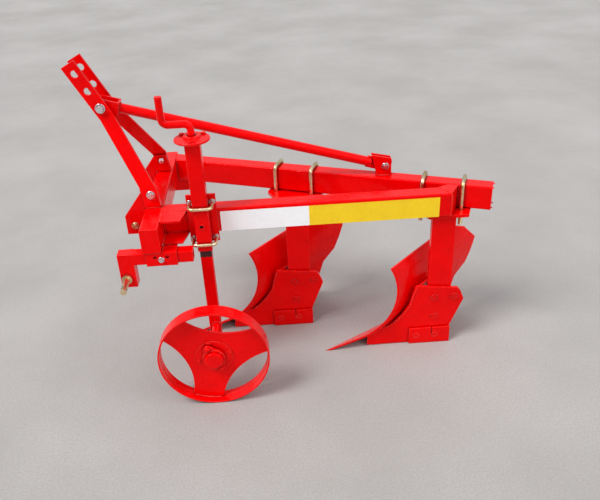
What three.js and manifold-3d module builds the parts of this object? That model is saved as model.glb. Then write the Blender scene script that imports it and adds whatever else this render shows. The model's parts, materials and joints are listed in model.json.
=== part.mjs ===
// A two-furrow mounted moldboard plough with a depth wheel, in millimetres.
// +X is forward, +Y is to the left (the landside), +Z is up, and the floor is at z = 0.
// Inside the model, x = 0 is the rear face of the cross member and y = 0 is the tractor's centre line.
import * as THREE from "three";
import { mergeVertices } from "three/addons/utils/BufferGeometryUtils.js";
import Module from "manifold-3d";

const wasm = await Module();
wasm.setup();

// ---- Driving dimensions ----

const SEAM = 0.3; // gap kept where two pieces touch
const FAR = 2000; // longer than the whole plough, for cutting tools

// Frame: three box tubes of one section
const FRAME_TOP = 637;
const TUBE_HEIGHT = 88;
const TUBE_WIDTH = 62;
const TUBE_CORNER = 6; // radius of a tube's long edges
const CORNER_STEPS = 4; // sides drawn for each such corner
const INNER_CORNER = 1; // least radius inside a square tube
const CROSS_LEFT = 331; // from the centre line to the cross member's ends
const CROSS_RIGHT = 350;
const BEAM_ANGLE = THREE.MathUtils.degToRad(21.2); // main beam, away from the direction of travel
const BEAM_INSET = 21; // from the end of the cross member to the main beam's corner
const BEAM_REACH = 1145; // main beam's rear end behind the cross member, on its landside face
const SIDE_BEAM_Y = 206; // outer face
const SIDE_BEAM_LENGTH = 966; // to the start of its angled end, on the inner face
const SIDE_BEAM_MITRE = 31; // how much longer its outer face is
const SIDE_END_FIRST = 39; // where its closing piece meets the main beam, from the start of that end
const SIDE_END_LAST = 69;
const SIDE_END_LAP = 2; // how far that piece reaches into the tube
const SIDE_END_INSET = 0.5; // how far its faces lie inside the tube's
const GUSSET_GAP = 3; // to the leg's clamp plate
const GUSSET_LAP = 4.6; // over the hitch sleeve's inner edge
const GUSSET_CHAMFER = 16;
const GUSSET_THICKNESS = 8;

// Mast
const MAST_LEAN = THREE.MathUtils.degToRad(27.5);
const STRAP_WIDTH = 50;
const STRAP_THICKNESS = 10;
const STRAP_FOOT_Y = 167; // outer face of a strap's foot
const STRAP_TOP_Y = 50; // outer face of a strap's top
const FOOT_BOLT_X = 35;
const FOOT_BOLT_HEIGHT = 48; // above the frame
const FOOT_TOP = 66; // height of the upright foot
const FOOT_REAR = 5; // its rear edge, in front of the cross member's rear face
const FOOT_TAPER = 11; // how much narrower it is at the rear, at its top
const FOOT_FLARE = 4; // how far its front edge leans forward
const FOOT_RISE = 10; // how much higher its rear corner is
const STRAP_BEND = 276; // from the foot bolt to the upper bend, along the strap
const BRACE_HOLE = 310; // from the foot bolt to the brace's hole, along the strap
const HOLE_PITCH = 67; // between the holes above it
const STRAP_END = 37; // from the last hole to the strap's end
const LINK_HOLE_R = 12.5;
const BRACE_BOLT_R = 10;
const MAST_HEAD_R = 17;
const MAST_HEAD_HEIGHT = 12;
const MAST_BOLT_PROUD = 6; // past its nut
const HEADSTOCK_THICKNESS = 10;
const HEADSTOCK_REACH = 76; // in front of the cross member
const HEADSTOCK_DROP = 14; // below the cross member
const HEADSTOCK_SHOULDER = 32; // below the frame's top, where the front edge starts

// Brace from the mast to the main beam
const BRACE_R = 17;
const BRACE_LUG_X = -797;
const BRACE_LUG_BOLT = 34; // above the frame
const FORK_GAP = 38;
const FORK_CHEEK = 7;
const FORK_HEIGHT = 48;
const FORK_LENGTH = 56;
const TONGUE_THICKNESS = 12;
const TONGUE_HEIGHT = 42;
const TONGUE_LENGTH = 92;
const BRACE_STOP = 56; // from the lug's bolt to the end of the brace's tube
const LUG_THICKNESS = 8;
const LUG_REAR = 22; // behind its bolt
const LUG_FRONT = 31; // in front of its bolt, at the foot
const LUG_LEAN = 19; // how far its front edge leans forward
const LUG_HEIGHT = 80; // at the front
const LUG_FALL = 16; // how much lower it is at the rear
const LUG_FLOOR = 5; // between its plates
const LUG_BOLT_R = 8;
const LUG_HEAD_R = 14;
const LUG_HEAD_HEIGHT = 10;
const LUG_BOLT_PROUD = 4; // past its nut

// Lower hitch
const SLEEVE_SIZE = 53;
const SLEEVE_WALL = 5;
const SLEEVE_FRONT = 55;
const SLEEVE_REAR = -49;
const BAR_GAP = 0.5; // between bar and sleeve, on each side
const BAR_PASS = 2; // between the left bar and the leg's clamp
const BAR_WALL = 5;
const BAR_CORNER = 4; // radius of the long edges of the small square tubes
const BAR_REAR = -101;
const ARM_FRONT = 150;
const ARM_LENGTH = 52;
const ARM_DROP = 131; // below the frame
const PIN_SETBACK = 22; // from the arm's front
const PIN_RISE = 36; // above the arm's lower end
const PIN_R = 11;
const PIN_LENGTH = 88;
const COLLAR_R = 17;
const COLLAR_LENGTH = 12;
const PIN_GROOVE = 16; // from the pin's free end
const PIN_GROOVE_DEPTH = 2.5;
const PIN_GROOVE_WIDTH = 5;

// Depth wheel's leg
const LEG_X = -137;
const LEG_SIZE = 50;
const LEG_WALL = 4.5;
const LEG_BELOW = 42; // below the frame
const LEG_ABOVE = 263; // above it
const SLIDE_GAP = 0.5;
const SLIDE_WALL = 4;
const SLIDE_BELOW_AXLE = 48.5;
const SLIDE_HELD = 183; // its length inside the leg
const CLAMP_WIDTH = 100;
const CLAMP_THICKNESS = 8;
const CLAMP_ABOVE = 60; // above the side beam
const CLAMP_BELOW = 30; // below it
const CLAMP_BOLT_ABOVE = 32;
const CLAMP_BOLT_BELOW = 15;
const CLAMP_ROD_R = 6;
const CLAMP_ROD_GAP = 7; // between leg and rod, on each side
const CLAMP_ROD_BEND = 14;
const CLAMP_ROD_TAIL = 16; // past the clamp plate
const CLAMP_NUT_R = 11;
const CLAMP_NUT_HEIGHT = 10;
const BEARING_R = 58;
const BEARING_THICKNESS = 8;
const BOSS_R = 29;
const BOSS_HEIGHT = 9;
const CRANK_R = 12;
const CRANK_DROP = 24; // of the crank's stem inside the leg
const CRANK_RISE = 46; // from the bearing to the crank's arm
const CRANK_ARM = 88;
const CRANK_HANDLE = 92;
const CRANK_BEND = 20;

// Depth wheel
const WHEEL_R = 190.5;
const WHEEL_X = -143;
const RIM_WIDTH = 56;
const RIM_THICKNESS = 6;
const WHEEL_END_Y = 463.5; // outer edge of the rim
const DISC_INSET = 26; // from that edge to the disc
const DISC_THICKNESS = 8;
const ARMS = 3;
const CUT_TURN = THREE.MathUtils.degToRad(-18); // middle of the first opening
const CUT_SPAN = THREE.MathUtils.degToRad(86);
const CUT_DEPTH = 98; // from the axle to an opening's inner edge
const HUB_R = 36;
const HUB_LENGTH = 87.5; // behind the rim's outer edge
const HUB_PROUD = 8; // past that edge
const HUB_SEAT_R = 64;
const HUB_SEAT_THICKNESS = 3;
const HUB_FLANGE_GAP = 10; // from the disc to the flange
const HUB_FLANGE_THICKNESS = 8;
const HUB_BOLTS = 2;
const HUB_BOLT_CIRCLE = 46; // radius
const HUB_BOLT_TURN = THREE.MathUtils.degToRad(66); // place of the first bolt
const HUB_LOBE_R = 14;
const HUB_BOLT_R = 5;
const HUB_NUT_R = 9;
const HUB_NUT_HEIGHT = 6;
const CAP_R = 33;
const CAP_EDGE_R = 24; // its flat end
const CAP_ROUNDING = 7;
const AXLE_R = 15;
const AXLE_GAP = 0.6;
const AXLE_COLLAR_R = 23;
const AXLE_COLLAR_LENGTH = 8;
const AXLE_ROOT = 4; // past the slide tube's far face
const HUB_END = 10; // thickness of the hub's closed end
const AXLE_END_GAP = 2; // from the axle's end to it

// One plough bottom. Its own x = 0 is the middle of the standard, its own y = 0 is the landside's face.
// Where each bottom stands, and its rods' places behind its middle, along the main beam
const BOTTOMS = [
  { name: "rear", x: -981, y: 207, rods: [-55, 87] },
  { name: "front", x: -464, y: 28.5, rods: [-60, 82] },
];
const STANDARD_WIDTH = 86;
const STANDARD_THICKNESS = 22;
const STANDARD_BOTTOM = 95;
const TOP_PLATE_THICKNESS = 12;
const TOP_PLATE_FRONT = 90; // from the standard's middle, along the main beam
const TOP_PLATE_REAR = 120;
const TOP_PLATE_MARGIN = 13.5; // outside a rod's axis
const TOP_PLATE_EDGE = 9; // from the landside's face
const TOP_PLATE_NOSE = 12; // where that edge starts, in front of the standard
const BEAM_ROD_R = 7;
const BEAM_ROD_GAP = 2.5; // between beam and rod, on each side and on top
const BEAM_ROD_BEND = 14;
const BEAM_ROD_TAIL = 48; // below the top plate
const BEAM_NUT_R = 13;
const BEAM_NUT_HEIGHT = 12;
const LANDSIDE_THICKNESS = 8;
const LANDSIDE_HEIGHT = 71;
const LANDSIDE_FRONT = 112;
const LANDSIDE_REAR = -46;
const LANDSIDE_SLIT_X = 22;
const LANDSIDE_SLIT_DEPTH = 34;
const LANDSIDE_SLIT_WIDTH = 3;
const FROG_THICKNESS = 10;
const FROG_FOOT = 2; // above the floor
const FROG_TOE = 4; // its lower edge ends so far behind its front edge
// Its front edge in side view, from the top down
const FROG_EDGE = [
  [90, 258],
  [102, 220],
  [113, 175],
  [140, 135],
  [176, 99],
  [246, 61],
  [276, 44],
  [322, 14],
];
// And its rear edge, from the standard's rear edge at the landside's top upwards
const FROG_REAR = [
  [-43, 68],
  [-92, 192],
  [-77, 231],
  [-65, 243],
];
const SEAT_TURN = 43.5; // degrees from the direction of travel
const SEAT_WIDTH = 80;
const SEAT_THICKNESS = 8;
const SHARE_ANGLE = THREE.MathUtils.degToRad(20.9);
const SHARE_TIP = 441; // in front of the standard's middle
const SHARE_LENGTH = 149; // up its slope, at the landside
const SHARE_WIDTH = 216; // across the furrow
const BLADE_THICKNESS = 9; // of share and moldboard, seen from the side
const SHEET_R = 211; // radius of the moldboard, seen from the side
const SHARE_TURN = 31.5; // degrees from the direction of travel to the share's edge
const SHEET_TURN = 38; // and to a level line across the upper moldboard
const TURN_START = 50; // heights between which the one angle grows into the other
const TURN_END = 200;
const SHEET_STEPS = 8; // across the furrow
const SHEET_SEGMENTS = 22; // along the sheet in side view
const SHEET_SWEEP = THREE.MathUtils.degToRad(53); // of the sheet above its rearmost line
const SHIN_OVERHANG = 8; // how far share and moldboard stand out past the landside's face
const SHEET_SPAN = 300; // across the furrow
const SHIN_X = 362; // in front of the whole moldboard
const SHIN_TOP = 344; // height of its top corner there
// The moldboard's outline in side view, from its top front corner over the wing to its lower edge
const MOLDBOARD_EDGE = [
  [190, 355],
  [102, 369],
  [16, 381],
  [-100, 384],
  [-150, 362],
  [-203, 304],
  [-183, 255],
  [-160, 207],
  [-110, 167],
];
const MOLDBOARD_HEEL = -58; // where its lower edge meets the share
const STAY_R = 8;
const STAY_Z = 208;
const STAY_REACH = 215; // across the furrow
const STAY_DRIFT = 40; // rearwards over that reach

// ---- Values worked out from them ----

const FRAME_BOTTOM = FRAME_TOP - TUBE_HEIGHT;
const BEAM_SIN = Math.sin(BEAM_ANGLE);
const BEAM_COS = Math.cos(BEAM_ANGLE);
const BEAM_ACROSS = TUBE_WIDTH / BEAM_COS; // the main beam's width, measured along y
const BEAM_START_Y = -CROSS_RIGHT + BEAM_INSET + BEAM_ACROSS;
const GUSSET_LENGTH = -LEG_X - CLAMP_WIDTH / 2 - GUSSET_GAP;
const LEG_BOTTOM = FRAME_BOTTOM - LEG_BELOW;
const LEG_TOP = FRAME_TOP + LEG_ABOVE;
const LEG_Y = SIDE_BEAM_Y + CLAMP_THICKNESS + 2 * SEAM + LEG_SIZE / 2;
const SLIDE_SIZE = LEG_SIZE - 2 * LEG_WALL - 2 * SLIDE_GAP;
const SLIDE_BOTTOM = WHEEL_R - SLIDE_BELOW_AXLE;
const SLIDE_TOP = LEG_BOTTOM + SLIDE_HELD;
const CLAMP_ROD_SPREAD = LEG_SIZE / 2 + CLAMP_ROD_GAP + CLAMP_ROD_R; // from the leg's axis
const CLAMP_OUTER_Y = LEG_Y + LEG_SIZE / 2 + SEAM + 2 * CLAMP_ROD_R;
const CLAMP_HEIGHTS = [FRAME_TOP + CLAMP_BOLT_ABOVE, FRAME_BOTTOM - CLAMP_BOLT_BELOW];
const DISC_Y = WHEEL_END_Y - DISC_INSET;
const HUB_INNER_Y = WHEEL_END_Y - HUB_LENGTH;
const HUB_OUTER_Y = WHEEL_END_Y + HUB_PROUD;
const HUB_FLANGE_Y = DISC_Y + HUB_FLANGE_GAP;
const BAR_SIZE = SLEEVE_SIZE - 2 * (SLEEVE_WALL + BAR_GAP);
const BAR_Z = FRAME_BOTTOM - SEAM - SLEEVE_SIZE / 2;
const BAR_Y = CLAMP_OUTER_Y + BAR_PASS + BAR_SIZE / 2;
const GUSSET_Y = BAR_Y - SLEEVE_SIZE / 2 + GUSSET_LAP;
const ARM_BOTTOM = FRAME_BOTTOM - ARM_DROP;
const PIN_X = ARM_FRONT - PIN_SETBACK;
const PIN_Z = ARM_BOTTOM + PIN_RISE;
const BEAM_ROD_SPREAD = TUBE_WIDTH / 2 + BEAM_ROD_GAP + BEAM_ROD_R; // from the beam's centre line
const TOP_PLATE_FAR = BEAM_ROD_SPREAD + TOP_PLATE_MARGIN;
const LUG_GAP = TONGUE_THICKNESS + 2 * SEAM;
const BRACE_TOP = strapPoint(BRACE_HOLE);
const BRACE_END = new THREE.Vector2(BRACE_LUG_X, FRAME_TOP + BRACE_LUG_BOLT);
const TOP_PLATE_TOP = FRAME_BOTTOM - SEAM;
const SHEET_START = new THREE.Vector2(
  SHARE_TIP - SHARE_LENGTH * Math.cos(SHARE_ANGLE),
  SHARE_LENGTH * Math.sin(SHARE_ANGLE),
);
const SHEET_CENTRE = new THREE.Vector2(
  SHEET_START.x + SHEET_R * Math.sin(SHARE_ANGLE),
  SHEET_START.y + SHEET_R * Math.cos(SHARE_ANGLE),
);

// ---- Materials ----

const paint = new THREE.MeshStandardMaterial({ color: 0xc40a0c, roughness: 0.3, metalness: 0 });
const zinc = new THREE.MeshStandardMaterial({ color: 0xc8c8c4, roughness: 0.35, metalness: 0.9 });
const gold = new THREE.MeshStandardMaterial({ color: 0xc9a24a, roughness: 0.35, metalness: 0.9 });

// ---- Helpers ----

function mesh(name, geometry, material) {
  const made = new THREE.Mesh(geometry, material);
  made.name = name;
  return made;
}

function toSolid(geometry) {
  const bare = geometry.clone();
  bare.deleteAttribute("normal");
  bare.deleteAttribute("uv");
  const merged = mergeVertices(bare, 1e-3);
  return new wasm.Manifold(
    new wasm.Mesh({
      numProp: 3,
      vertProperties: new Float32Array(merged.attributes.position.array),
      triVerts: new Uint32Array(merged.index.array),
    }),
  );
}

function toGeometry(solid) {
  const data = solid.getMesh();
  const geometry = new THREE.BufferGeometry();
  geometry.setAttribute("position", new THREE.BufferAttribute(data.vertProperties, 3));
  geometry.setIndex(new THREE.BufferAttribute(data.triVerts, 1));
  geometry.computeVertexNormals();
  return geometry;
}

function join(...geometries) {
  return toGeometry(geometries.map(toSolid).reduce((sum, next) => sum.add(next)));
}

function cut(geometry, ...tools) {
  return toGeometry(tools.map(toSolid).reduce((rest, tool) => rest.subtract(tool), toSolid(geometry)));
}

function common(first, second) {
  return toGeometry(toSolid(first).intersect(toSolid(second)));
}

// The same piece on the other side of the centre line.
function mirrored(geometry) {
  return toGeometry(toSolid(geometry).mirror([0, 1, 0]));
}

function outline(points) {
  return new THREE.Shape(points.map(([x, y]) => new THREE.Vector2(x, y)));
}

// A flat piece seen from above, between two heights.
function flatPiece(points, low, high) {
  const options = { depth: high - low, bevelEnabled: false };
  return new THREE.ExtrudeGeometry(outline(points), options).translate(0, 0, low);
}

// A piece drawn in side view (x, z), between two values of y.
function sideShape(shape, low, high, segments = 12) {
  const options = { depth: high - low, bevelEnabled: false, curveSegments: segments };
  return new THREE.ExtrudeGeometry(shape, options).rotateX(Math.PI / 2).translate(0, high, 0);
}

function sidePiece(points, low, high) {
  return sideShape(outline(points), low, high);
}

function box(x, y, z) {
  return new THREE.BoxGeometry(x[1] - x[0], y[1] - y[0], z[1] - z[0]).translate(
    (x[0] + x[1]) / 2,
    (y[0] + y[1]) / 2,
    (z[0] + z[1]) / 2,
  );
}

// A rectangle with rounded corners about a centre, for the sections of tubes.
function roundedSection(centreX, centreY, halfX, halfY, corner) {
  const shape = new THREE.Shape();
  const turns = [
    [1, 1],
    [-1, 1],
    [-1, -1],
    [1, -1],
  ];
  turns.forEach(([x, y], n) => {
    const start = (n * Math.PI) / 2;
    const middle = [centreX + x * (halfX - corner), centreY + y * (halfY - corner)];
    shape.absarc(...middle, corner, start, start + Math.PI / 2, false);
  });
  return shape;
}

// A square tube's section, hollow.
function tubeSection(size, wall, corner) {
  const shape = roundedSection(0, 0, size / 2, size / 2, corner);
  const inside = size / 2 - wall;
  shape.holes.push(roundedSection(0, 0, inside, inside, Math.max(corner - wall, INNER_CORNER)));
  return shape;
}

// Extrudes a frame tube's section along +X from the origin, with its top at the frame's top.
function frameTube(length) {
  const shape = roundedSection(0, FRAME_TOP - TUBE_HEIGHT / 2, TUBE_WIDTH / 2, TUBE_HEIGHT / 2, TUBE_CORNER);
  const options = { depth: length, bevelEnabled: false, curveSegments: CORNER_STEPS };
  return new THREE.ExtrudeGeometry(shape, options).rotateX(Math.PI / 2).rotateZ(Math.PI / 2);
}

function rodAlongY(radius, x, z, low, high, sides = 24) {
  return new THREE.CylinderGeometry(radius, radius, high - low, sides).translate(x, (low + high) / 2, z);
}

function rodAlongZ(radius, x, y, low, high, sides = 24) {
  return new THREE.CylinderGeometry(radius, radius, high - low, sides)
    .rotateX(Math.PI / 2)
    .translate(x, y, (low + high) / 2);
}

// A round rod along straight stretches joined by bends of one radius.
function bentRod(points, bend, radius, sides, steps) {
  const path = new THREE.CurvePath();
  let from = points[0];
  for (let i = 1; i < points.length - 1; i++) {
    const before = points[i].clone().lerp(points[i - 1], bend / points[i].distanceTo(points[i - 1]));
    const after = points[i].clone().lerp(points[i + 1], bend / points[i].distanceTo(points[i + 1]));
    path.add(new THREE.LineCurve3(from, before));
    path.add(new RoundCorner(before, points[i], after));
    from = after;
  }
  path.add(new THREE.LineCurve3(from, points[points.length - 1]));
  return alongPath(path, radius, sides, steps);
}

class RoundCorner extends THREE.Curve {
  constructor(from, corner, to) {
    super();
    this.from = from;
    this.corner = corner;
    this.to = to;
  }

  // A quarter circle between two legs at right angles.
  getPoint(t, target = new THREE.Vector3()) {
    const centre = this.from.clone().add(this.to).sub(this.corner);
    const angle = (t * Math.PI) / 2;
    const first = this.from.clone().sub(centre).multiplyScalar(Math.cos(angle));
    const second = this.to.clone().sub(centre).multiplyScalar(Math.sin(angle));
    return target.copy(centre).add(first).add(second);
  }
}

function alongPath(path, radius, sides, steps) {
  const section = new THREE.Shape();
  section.absarc(0, 0, radius, 0, 2 * Math.PI, false);
  const options = { extrudePath: path, steps, curveSegments: sides / 2, bevelEnabled: false };
  return new THREE.ExtrudeGeometry(section, options);
}

// ---- Frame ----

function beamFaceY(x) {
  return BEAM_START_Y - x * Math.tan(BEAM_ANGLE);
}

function crossMember() {
  return frameTube(CROSS_LEFT + CROSS_RIGHT)
    .rotateZ(Math.PI / 2)
    .translate(TUBE_WIDTH / 2, -CROSS_RIGHT, 0);
}

function mainBeam() {
  const rear = [-BEAM_REACH, beamFaceY(-BEAM_REACH)];
  const points = [
    [-SEAM, beamFaceY(-SEAM)],
    rear,
    [rear[0] - TUBE_WIDTH * BEAM_SIN, rear[1] - TUBE_WIDTH * BEAM_COS],
    [-SEAM, beamFaceY(-SEAM) - BEAM_ACROSS],
  ];
  const tube = frameTube(FAR)
    .translate(-FAR + TUBE_HEIGHT, 0, 0)
    .rotateZ(-BEAM_ANGLE)
    .translate(0, BEAM_START_Y - BEAM_ACROSS / 2, 0);
  return common(tube, flatPiece(points, FRAME_BOTTOM - 1, FRAME_TOP + 1));
}

// The tube up to its angled end, and the plates that close the gap from there to the main beam.
function sideBeam() {
  const inner = SIDE_BEAM_Y - TUBE_WIDTH;
  const gap = SEAM / BEAM_COS;
  const first = -SIDE_BEAM_LENGTH - SIDE_END_FIRST;
  const last = -SIDE_BEAM_LENGTH - SIDE_END_LAST;
  const mitre = -SIDE_BEAM_LENGTH - SIDE_BEAM_MITRE;
  const outer = SIDE_BEAM_Y - SIDE_END_INSET;
  const straight = [
    [-SEAM, inner - 1],
    [-SEAM, SIDE_BEAM_Y + 1],
    [mitre, SIDE_BEAM_Y + 1],
    [mitre, SIDE_BEAM_Y],
    [-SIDE_BEAM_LENGTH, inner],
    [-SIDE_BEAM_LENGTH, inner - 1],
  ];
  const tube = frameTube(FAR).translate(-FAR + TUBE_HEIGHT, SIDE_BEAM_Y - TUBE_WIDTH / 2, 0);
  const wedge = [
    [-SIDE_BEAM_LENGTH + SIDE_END_LAP, inner + SIDE_END_INSET],
    [mitre + SIDE_END_LAP, outer],
    [last, beamFaceY(last) + gap],
    [first, beamFaceY(first) + gap],
  ];
  return join(
    common(tube, flatPiece(straight, FRAME_BOTTOM - 1, FRAME_TOP + 1)),
    flatPiece(wedge, FRAME_BOTTOM + SIDE_END_INSET, FRAME_TOP - SIDE_END_INSET),
  );
}

function cornerGusset(top) {
  const points = [
    [-SEAM, SIDE_BEAM_Y + SEAM],
    [-SEAM, GUSSET_Y],
    [-GUSSET_LENGTH + GUSSET_CHAMFER, GUSSET_Y],
    [-GUSSET_LENGTH, SIDE_BEAM_Y + SEAM],
  ];
  return flatPiece(points, top - GUSSET_THICKNESS, top);
}

// ---- Mast ----

// A point of the mast's centre line in side view, so far up from the foot bolt.
function strapPoint(along, forward = 0) {
  const lean = new THREE.Vector2(Math.sin(MAST_LEAN), Math.cos(MAST_LEAN));
  return new THREE.Vector2(
    FOOT_BOLT_X + along * lean.x + forward * lean.y,
    FRAME_TOP + FOOT_BOLT_HEIGHT + along * lean.y - forward * lean.x,
  );
}

// A strap of even thickness through a row of stations, each a front and a rear edge point and a y.
function strapThrough(stations, thickness) {
  const position = [];
  for (const { front, rear, y } of stations) {
    position.push(front.x, y, front.y, rear.x, y, rear.y);
    position.push(rear.x, y - thickness, rear.y, front.x, y - thickness, front.y);
  }
  const index = [0, 2, 1, 0, 3, 2];
  for (let i = 0; i < stations.length - 1; i++) {
    for (let k = 0; k < 4; k++) {
      const a = 4 * i + k;
      const b = 4 * i + ((k + 1) % 4);
      index.push(a, b, a + 4, b, b + 4, a + 4);
    }
  }
  const end = 4 * (stations.length - 1);
  index.push(end, end + 1, end + 2, end, end + 2, end + 3);
  const geometry = new THREE.BufferGeometry();
  geometry.setAttribute("position", new THREE.Float32BufferAttribute(position, 3));
  geometry.setIndex(index);
  return geometry;
}

function mastStrap() {
  const half = STRAP_WIDTH / 2;
  const end = BRACE_HOLE + 2 * HOLE_PITCH + STRAP_END;
  const floor = FRAME_TOP + SEAM;
  const stations = [
    {
      front: new THREE.Vector2(TUBE_WIDTH, floor),
      rear: new THREE.Vector2(FOOT_REAR, floor),
      y: STRAP_FOOT_Y,
    },
    {
      front: new THREE.Vector2(TUBE_WIDTH + FOOT_FLARE, floor + FOOT_TOP),
      rear: new THREE.Vector2(FOOT_REAR + FOOT_TAPER, floor + FOOT_TOP + FOOT_RISE),
      y: STRAP_FOOT_Y,
    },
    { front: strapPoint(STRAP_BEND, half), rear: strapPoint(STRAP_BEND, -half), y: STRAP_TOP_Y },
    { front: strapPoint(end, half), rear: strapPoint(end, -half), y: STRAP_TOP_Y },
  ];
  const holes = [0, 1, 2].map((n) => {
    const centre = strapPoint(BRACE_HOLE + n * HOLE_PITCH);
    const radius = n === 0 ? BRACE_BOLT_R + SEAM : LINK_HOLE_R;
    return rodAlongY(radius, centre.x, centre.y, 0, STRAP_FOOT_Y);
  });
  return cut(strapThrough(stations, STRAP_THICKNESS), ...holes);
}

function headstockPlate() {
  const front = TUBE_WIDTH + HEADSTOCK_REACH;
  const points = [
    [FOOT_REAR, FRAME_TOP + SEAM],
    [TUBE_WIDTH + SEAM, FRAME_TOP + SEAM],
    [TUBE_WIDTH + SEAM, FRAME_BOTTOM - HEADSTOCK_DROP],
    [front, FRAME_BOTTOM - HEADSTOCK_DROP],
    [front, FRAME_TOP - HEADSTOCK_SHOULDER],
    [TUBE_WIDTH + SEAM, FRAME_TOP + FOOT_TOP],
    [FOOT_REAR + FOOT_TAPER, FRAME_TOP + FOOT_TOP],
  ];
  const outer = STRAP_FOOT_Y - STRAP_THICKNESS - SEAM;
  return sidePiece(points, outer - HEADSTOCK_THICKNESS, outer);
}

function mastBolt() {
  const reach = STRAP_TOP_Y + SEAM;
  const { x, y: z } = BRACE_TOP;
  return join(
    rodAlongY(BRACE_BOLT_R, x, z, -reach - MAST_HEAD_HEIGHT - MAST_BOLT_PROUD, reach + 1),
    rodAlongY(MAST_HEAD_R, x, z, reach, reach + MAST_HEAD_HEIGHT, 6),
    rodAlongY(MAST_HEAD_R, x, z, -reach - MAST_HEAD_HEIGHT, -reach, 6),
  );
}

// ---- Brace ----

// Built along -X from the mast bolt, then turned down to the lug.
function brace() {
  const length = BRACE_TOP.distanceTo(BRACE_END);
  const half = FORK_HEIGHT / 2;
  const outer = FORK_GAP / 2 + FORK_CHEEK;
  const tubeStart = FORK_LENGTH - FORK_CHEEK;
  const tubeEnd = length - BRACE_STOP;
  const tube = new THREE.CylinderGeometry(BRACE_R, BRACE_R, tubeEnd - tubeStart, 32)
    .rotateZ(Math.PI / 2)
    .translate(-(tubeStart + tubeEnd) / 2, 0, 0);
  const bolt = rodAlongY(BRACE_BOLT_R + SEAM, 0, 0, -outer - 1, outer + 1);
  const fork = cut(
    box([-FORK_LENGTH, half], [-outer, outer], [-half, half]),
    box([-FORK_LENGTH + FORK_CHEEK, half + 1], [-FORK_GAP / 2, FORK_GAP / 2], [-half - 1, half + 1]),
    bolt,
  );
  const tongueHalf = TONGUE_THICKNESS / 2;
  const tongue = cut(
    box(
      [-length - TONGUE_HEIGHT / 2, -length + TONGUE_LENGTH - TONGUE_HEIGHT / 2],
      [-tongueHalf, tongueHalf],
      [-TONGUE_HEIGHT / 2, TONGUE_HEIGHT / 2],
    ),
    rodAlongY(LUG_BOLT_R + SEAM, -length, 0, -tongueHalf - 1, tongueHalf + 1),
  );
  return join(tube, fork, tongue);
}

function braceLug() {
  const low = FRAME_TOP + SEAM;
  const points = [
    [BRACE_LUG_X - LUG_REAR, low],
    [BRACE_LUG_X + LUG_FRONT, low],
    [BRACE_LUG_X + LUG_FRONT + LUG_LEAN, low + LUG_HEIGHT],
    [BRACE_LUG_X - LUG_REAR, low + LUG_HEIGHT - LUG_FALL],
  ];
  const outer = LUG_GAP / 2 + LUG_THICKNESS;
  const slot = box(
    [BRACE_LUG_X - LUG_HEIGHT, BRACE_LUG_X + LUG_HEIGHT],
    [-LUG_GAP / 2, LUG_GAP / 2],
    [low + LUG_FLOOR, low + LUG_HEIGHT + 1],
  );
  const bolt = rodAlongY(LUG_BOLT_R + SEAM, BRACE_END.x, BRACE_END.y, -outer - 1, outer + 1);
  return cut(sidePiece(points, -outer, outer), slot, bolt);
}

function lugBolt() {
  const reach = LUG_GAP / 2 + LUG_THICKNESS + SEAM;
  const { x, y: z } = BRACE_END;
  return join(
    rodAlongY(LUG_BOLT_R, x, z, -reach - LUG_HEAD_HEIGHT - LUG_BOLT_PROUD, reach + 1),
    rodAlongY(LUG_HEAD_R, x, z, reach, reach + LUG_HEAD_HEIGHT, 6),
    rodAlongY(LUG_HEAD_R, x, z, -reach - LUG_HEAD_HEIGHT, -reach, 6),
  );
}

// ---- Lower hitch, on the left ----

function squareTube(size, wall, x, y, z) {
  const options = { depth: x[1] - x[0], bevelEnabled: false, curveSegments: CORNER_STEPS };
  const tube = new THREE.ExtrudeGeometry(tubeSection(size, wall, BAR_CORNER), options);
  return tube.rotateX(Math.PI / 2).rotateZ(Math.PI / 2).translate(x[0], y, z);
}

function hitchSleeve() {
  return squareTube(SLEEVE_SIZE, SLEEVE_WALL, [SLEEVE_REAR, SLEEVE_FRONT], BAR_Y, BAR_Z);
}

function hitchArm() {
  const rear = ARM_FRONT - ARM_LENGTH;
  const half = BAR_SIZE / 2;
  const bar = squareTube(BAR_SIZE, BAR_WALL, [BAR_REAR, rear + 1], BAR_Y, BAR_Z);
  const arm = box([rear, ARM_FRONT], [BAR_Y - half, BAR_Y + half], [ARM_BOTTOM, BAR_Z + half]);
  return join(bar, arm);
}

function hitchPin() {
  const start = BAR_Y + BAR_SIZE / 2 + SEAM;
  const end = start + PIN_LENGTH;
  const groove = end - PIN_GROOVE;
  const pin = join(
    rodAlongY(PIN_R, PIN_X, PIN_Z, start + 1, end),
    rodAlongY(COLLAR_R, PIN_X, PIN_Z, start, start + COLLAR_LENGTH),
  );
  const ring = cut(
    rodAlongY(PIN_R + 1, PIN_X, PIN_Z, groove, groove + PIN_GROOVE_WIDTH),
    rodAlongY(PIN_R - PIN_GROOVE_DEPTH, PIN_X, PIN_Z, groove - 1, groove + PIN_GROOVE_WIDTH + 1),
  );
  return cut(pin, ring);
}

// ---- Depth wheel's leg ----

function uprightTube(size, wall, low, high) {
  const options = { depth: high - low, bevelEnabled: false, curveSegments: CORNER_STEPS };
  return new THREE.ExtrudeGeometry(tubeSection(size, wall, BAR_CORNER), options).translate(LEG_X, LEG_Y, low);
}

function legTube() {
  return uprightTube(LEG_SIZE, LEG_WALL, LEG_BOTTOM, LEG_TOP);
}

function slideTube() {
  const bore = rodAlongY(AXLE_R + SEAM, WHEEL_X, WHEEL_R, LEG_Y - LEG_SIZE, LEG_Y + LEG_SIZE);
  return cut(uprightTube(SLIDE_SIZE, SLIDE_WALL, SLIDE_BOTTOM, SLIDE_TOP), bore);
}

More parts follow.
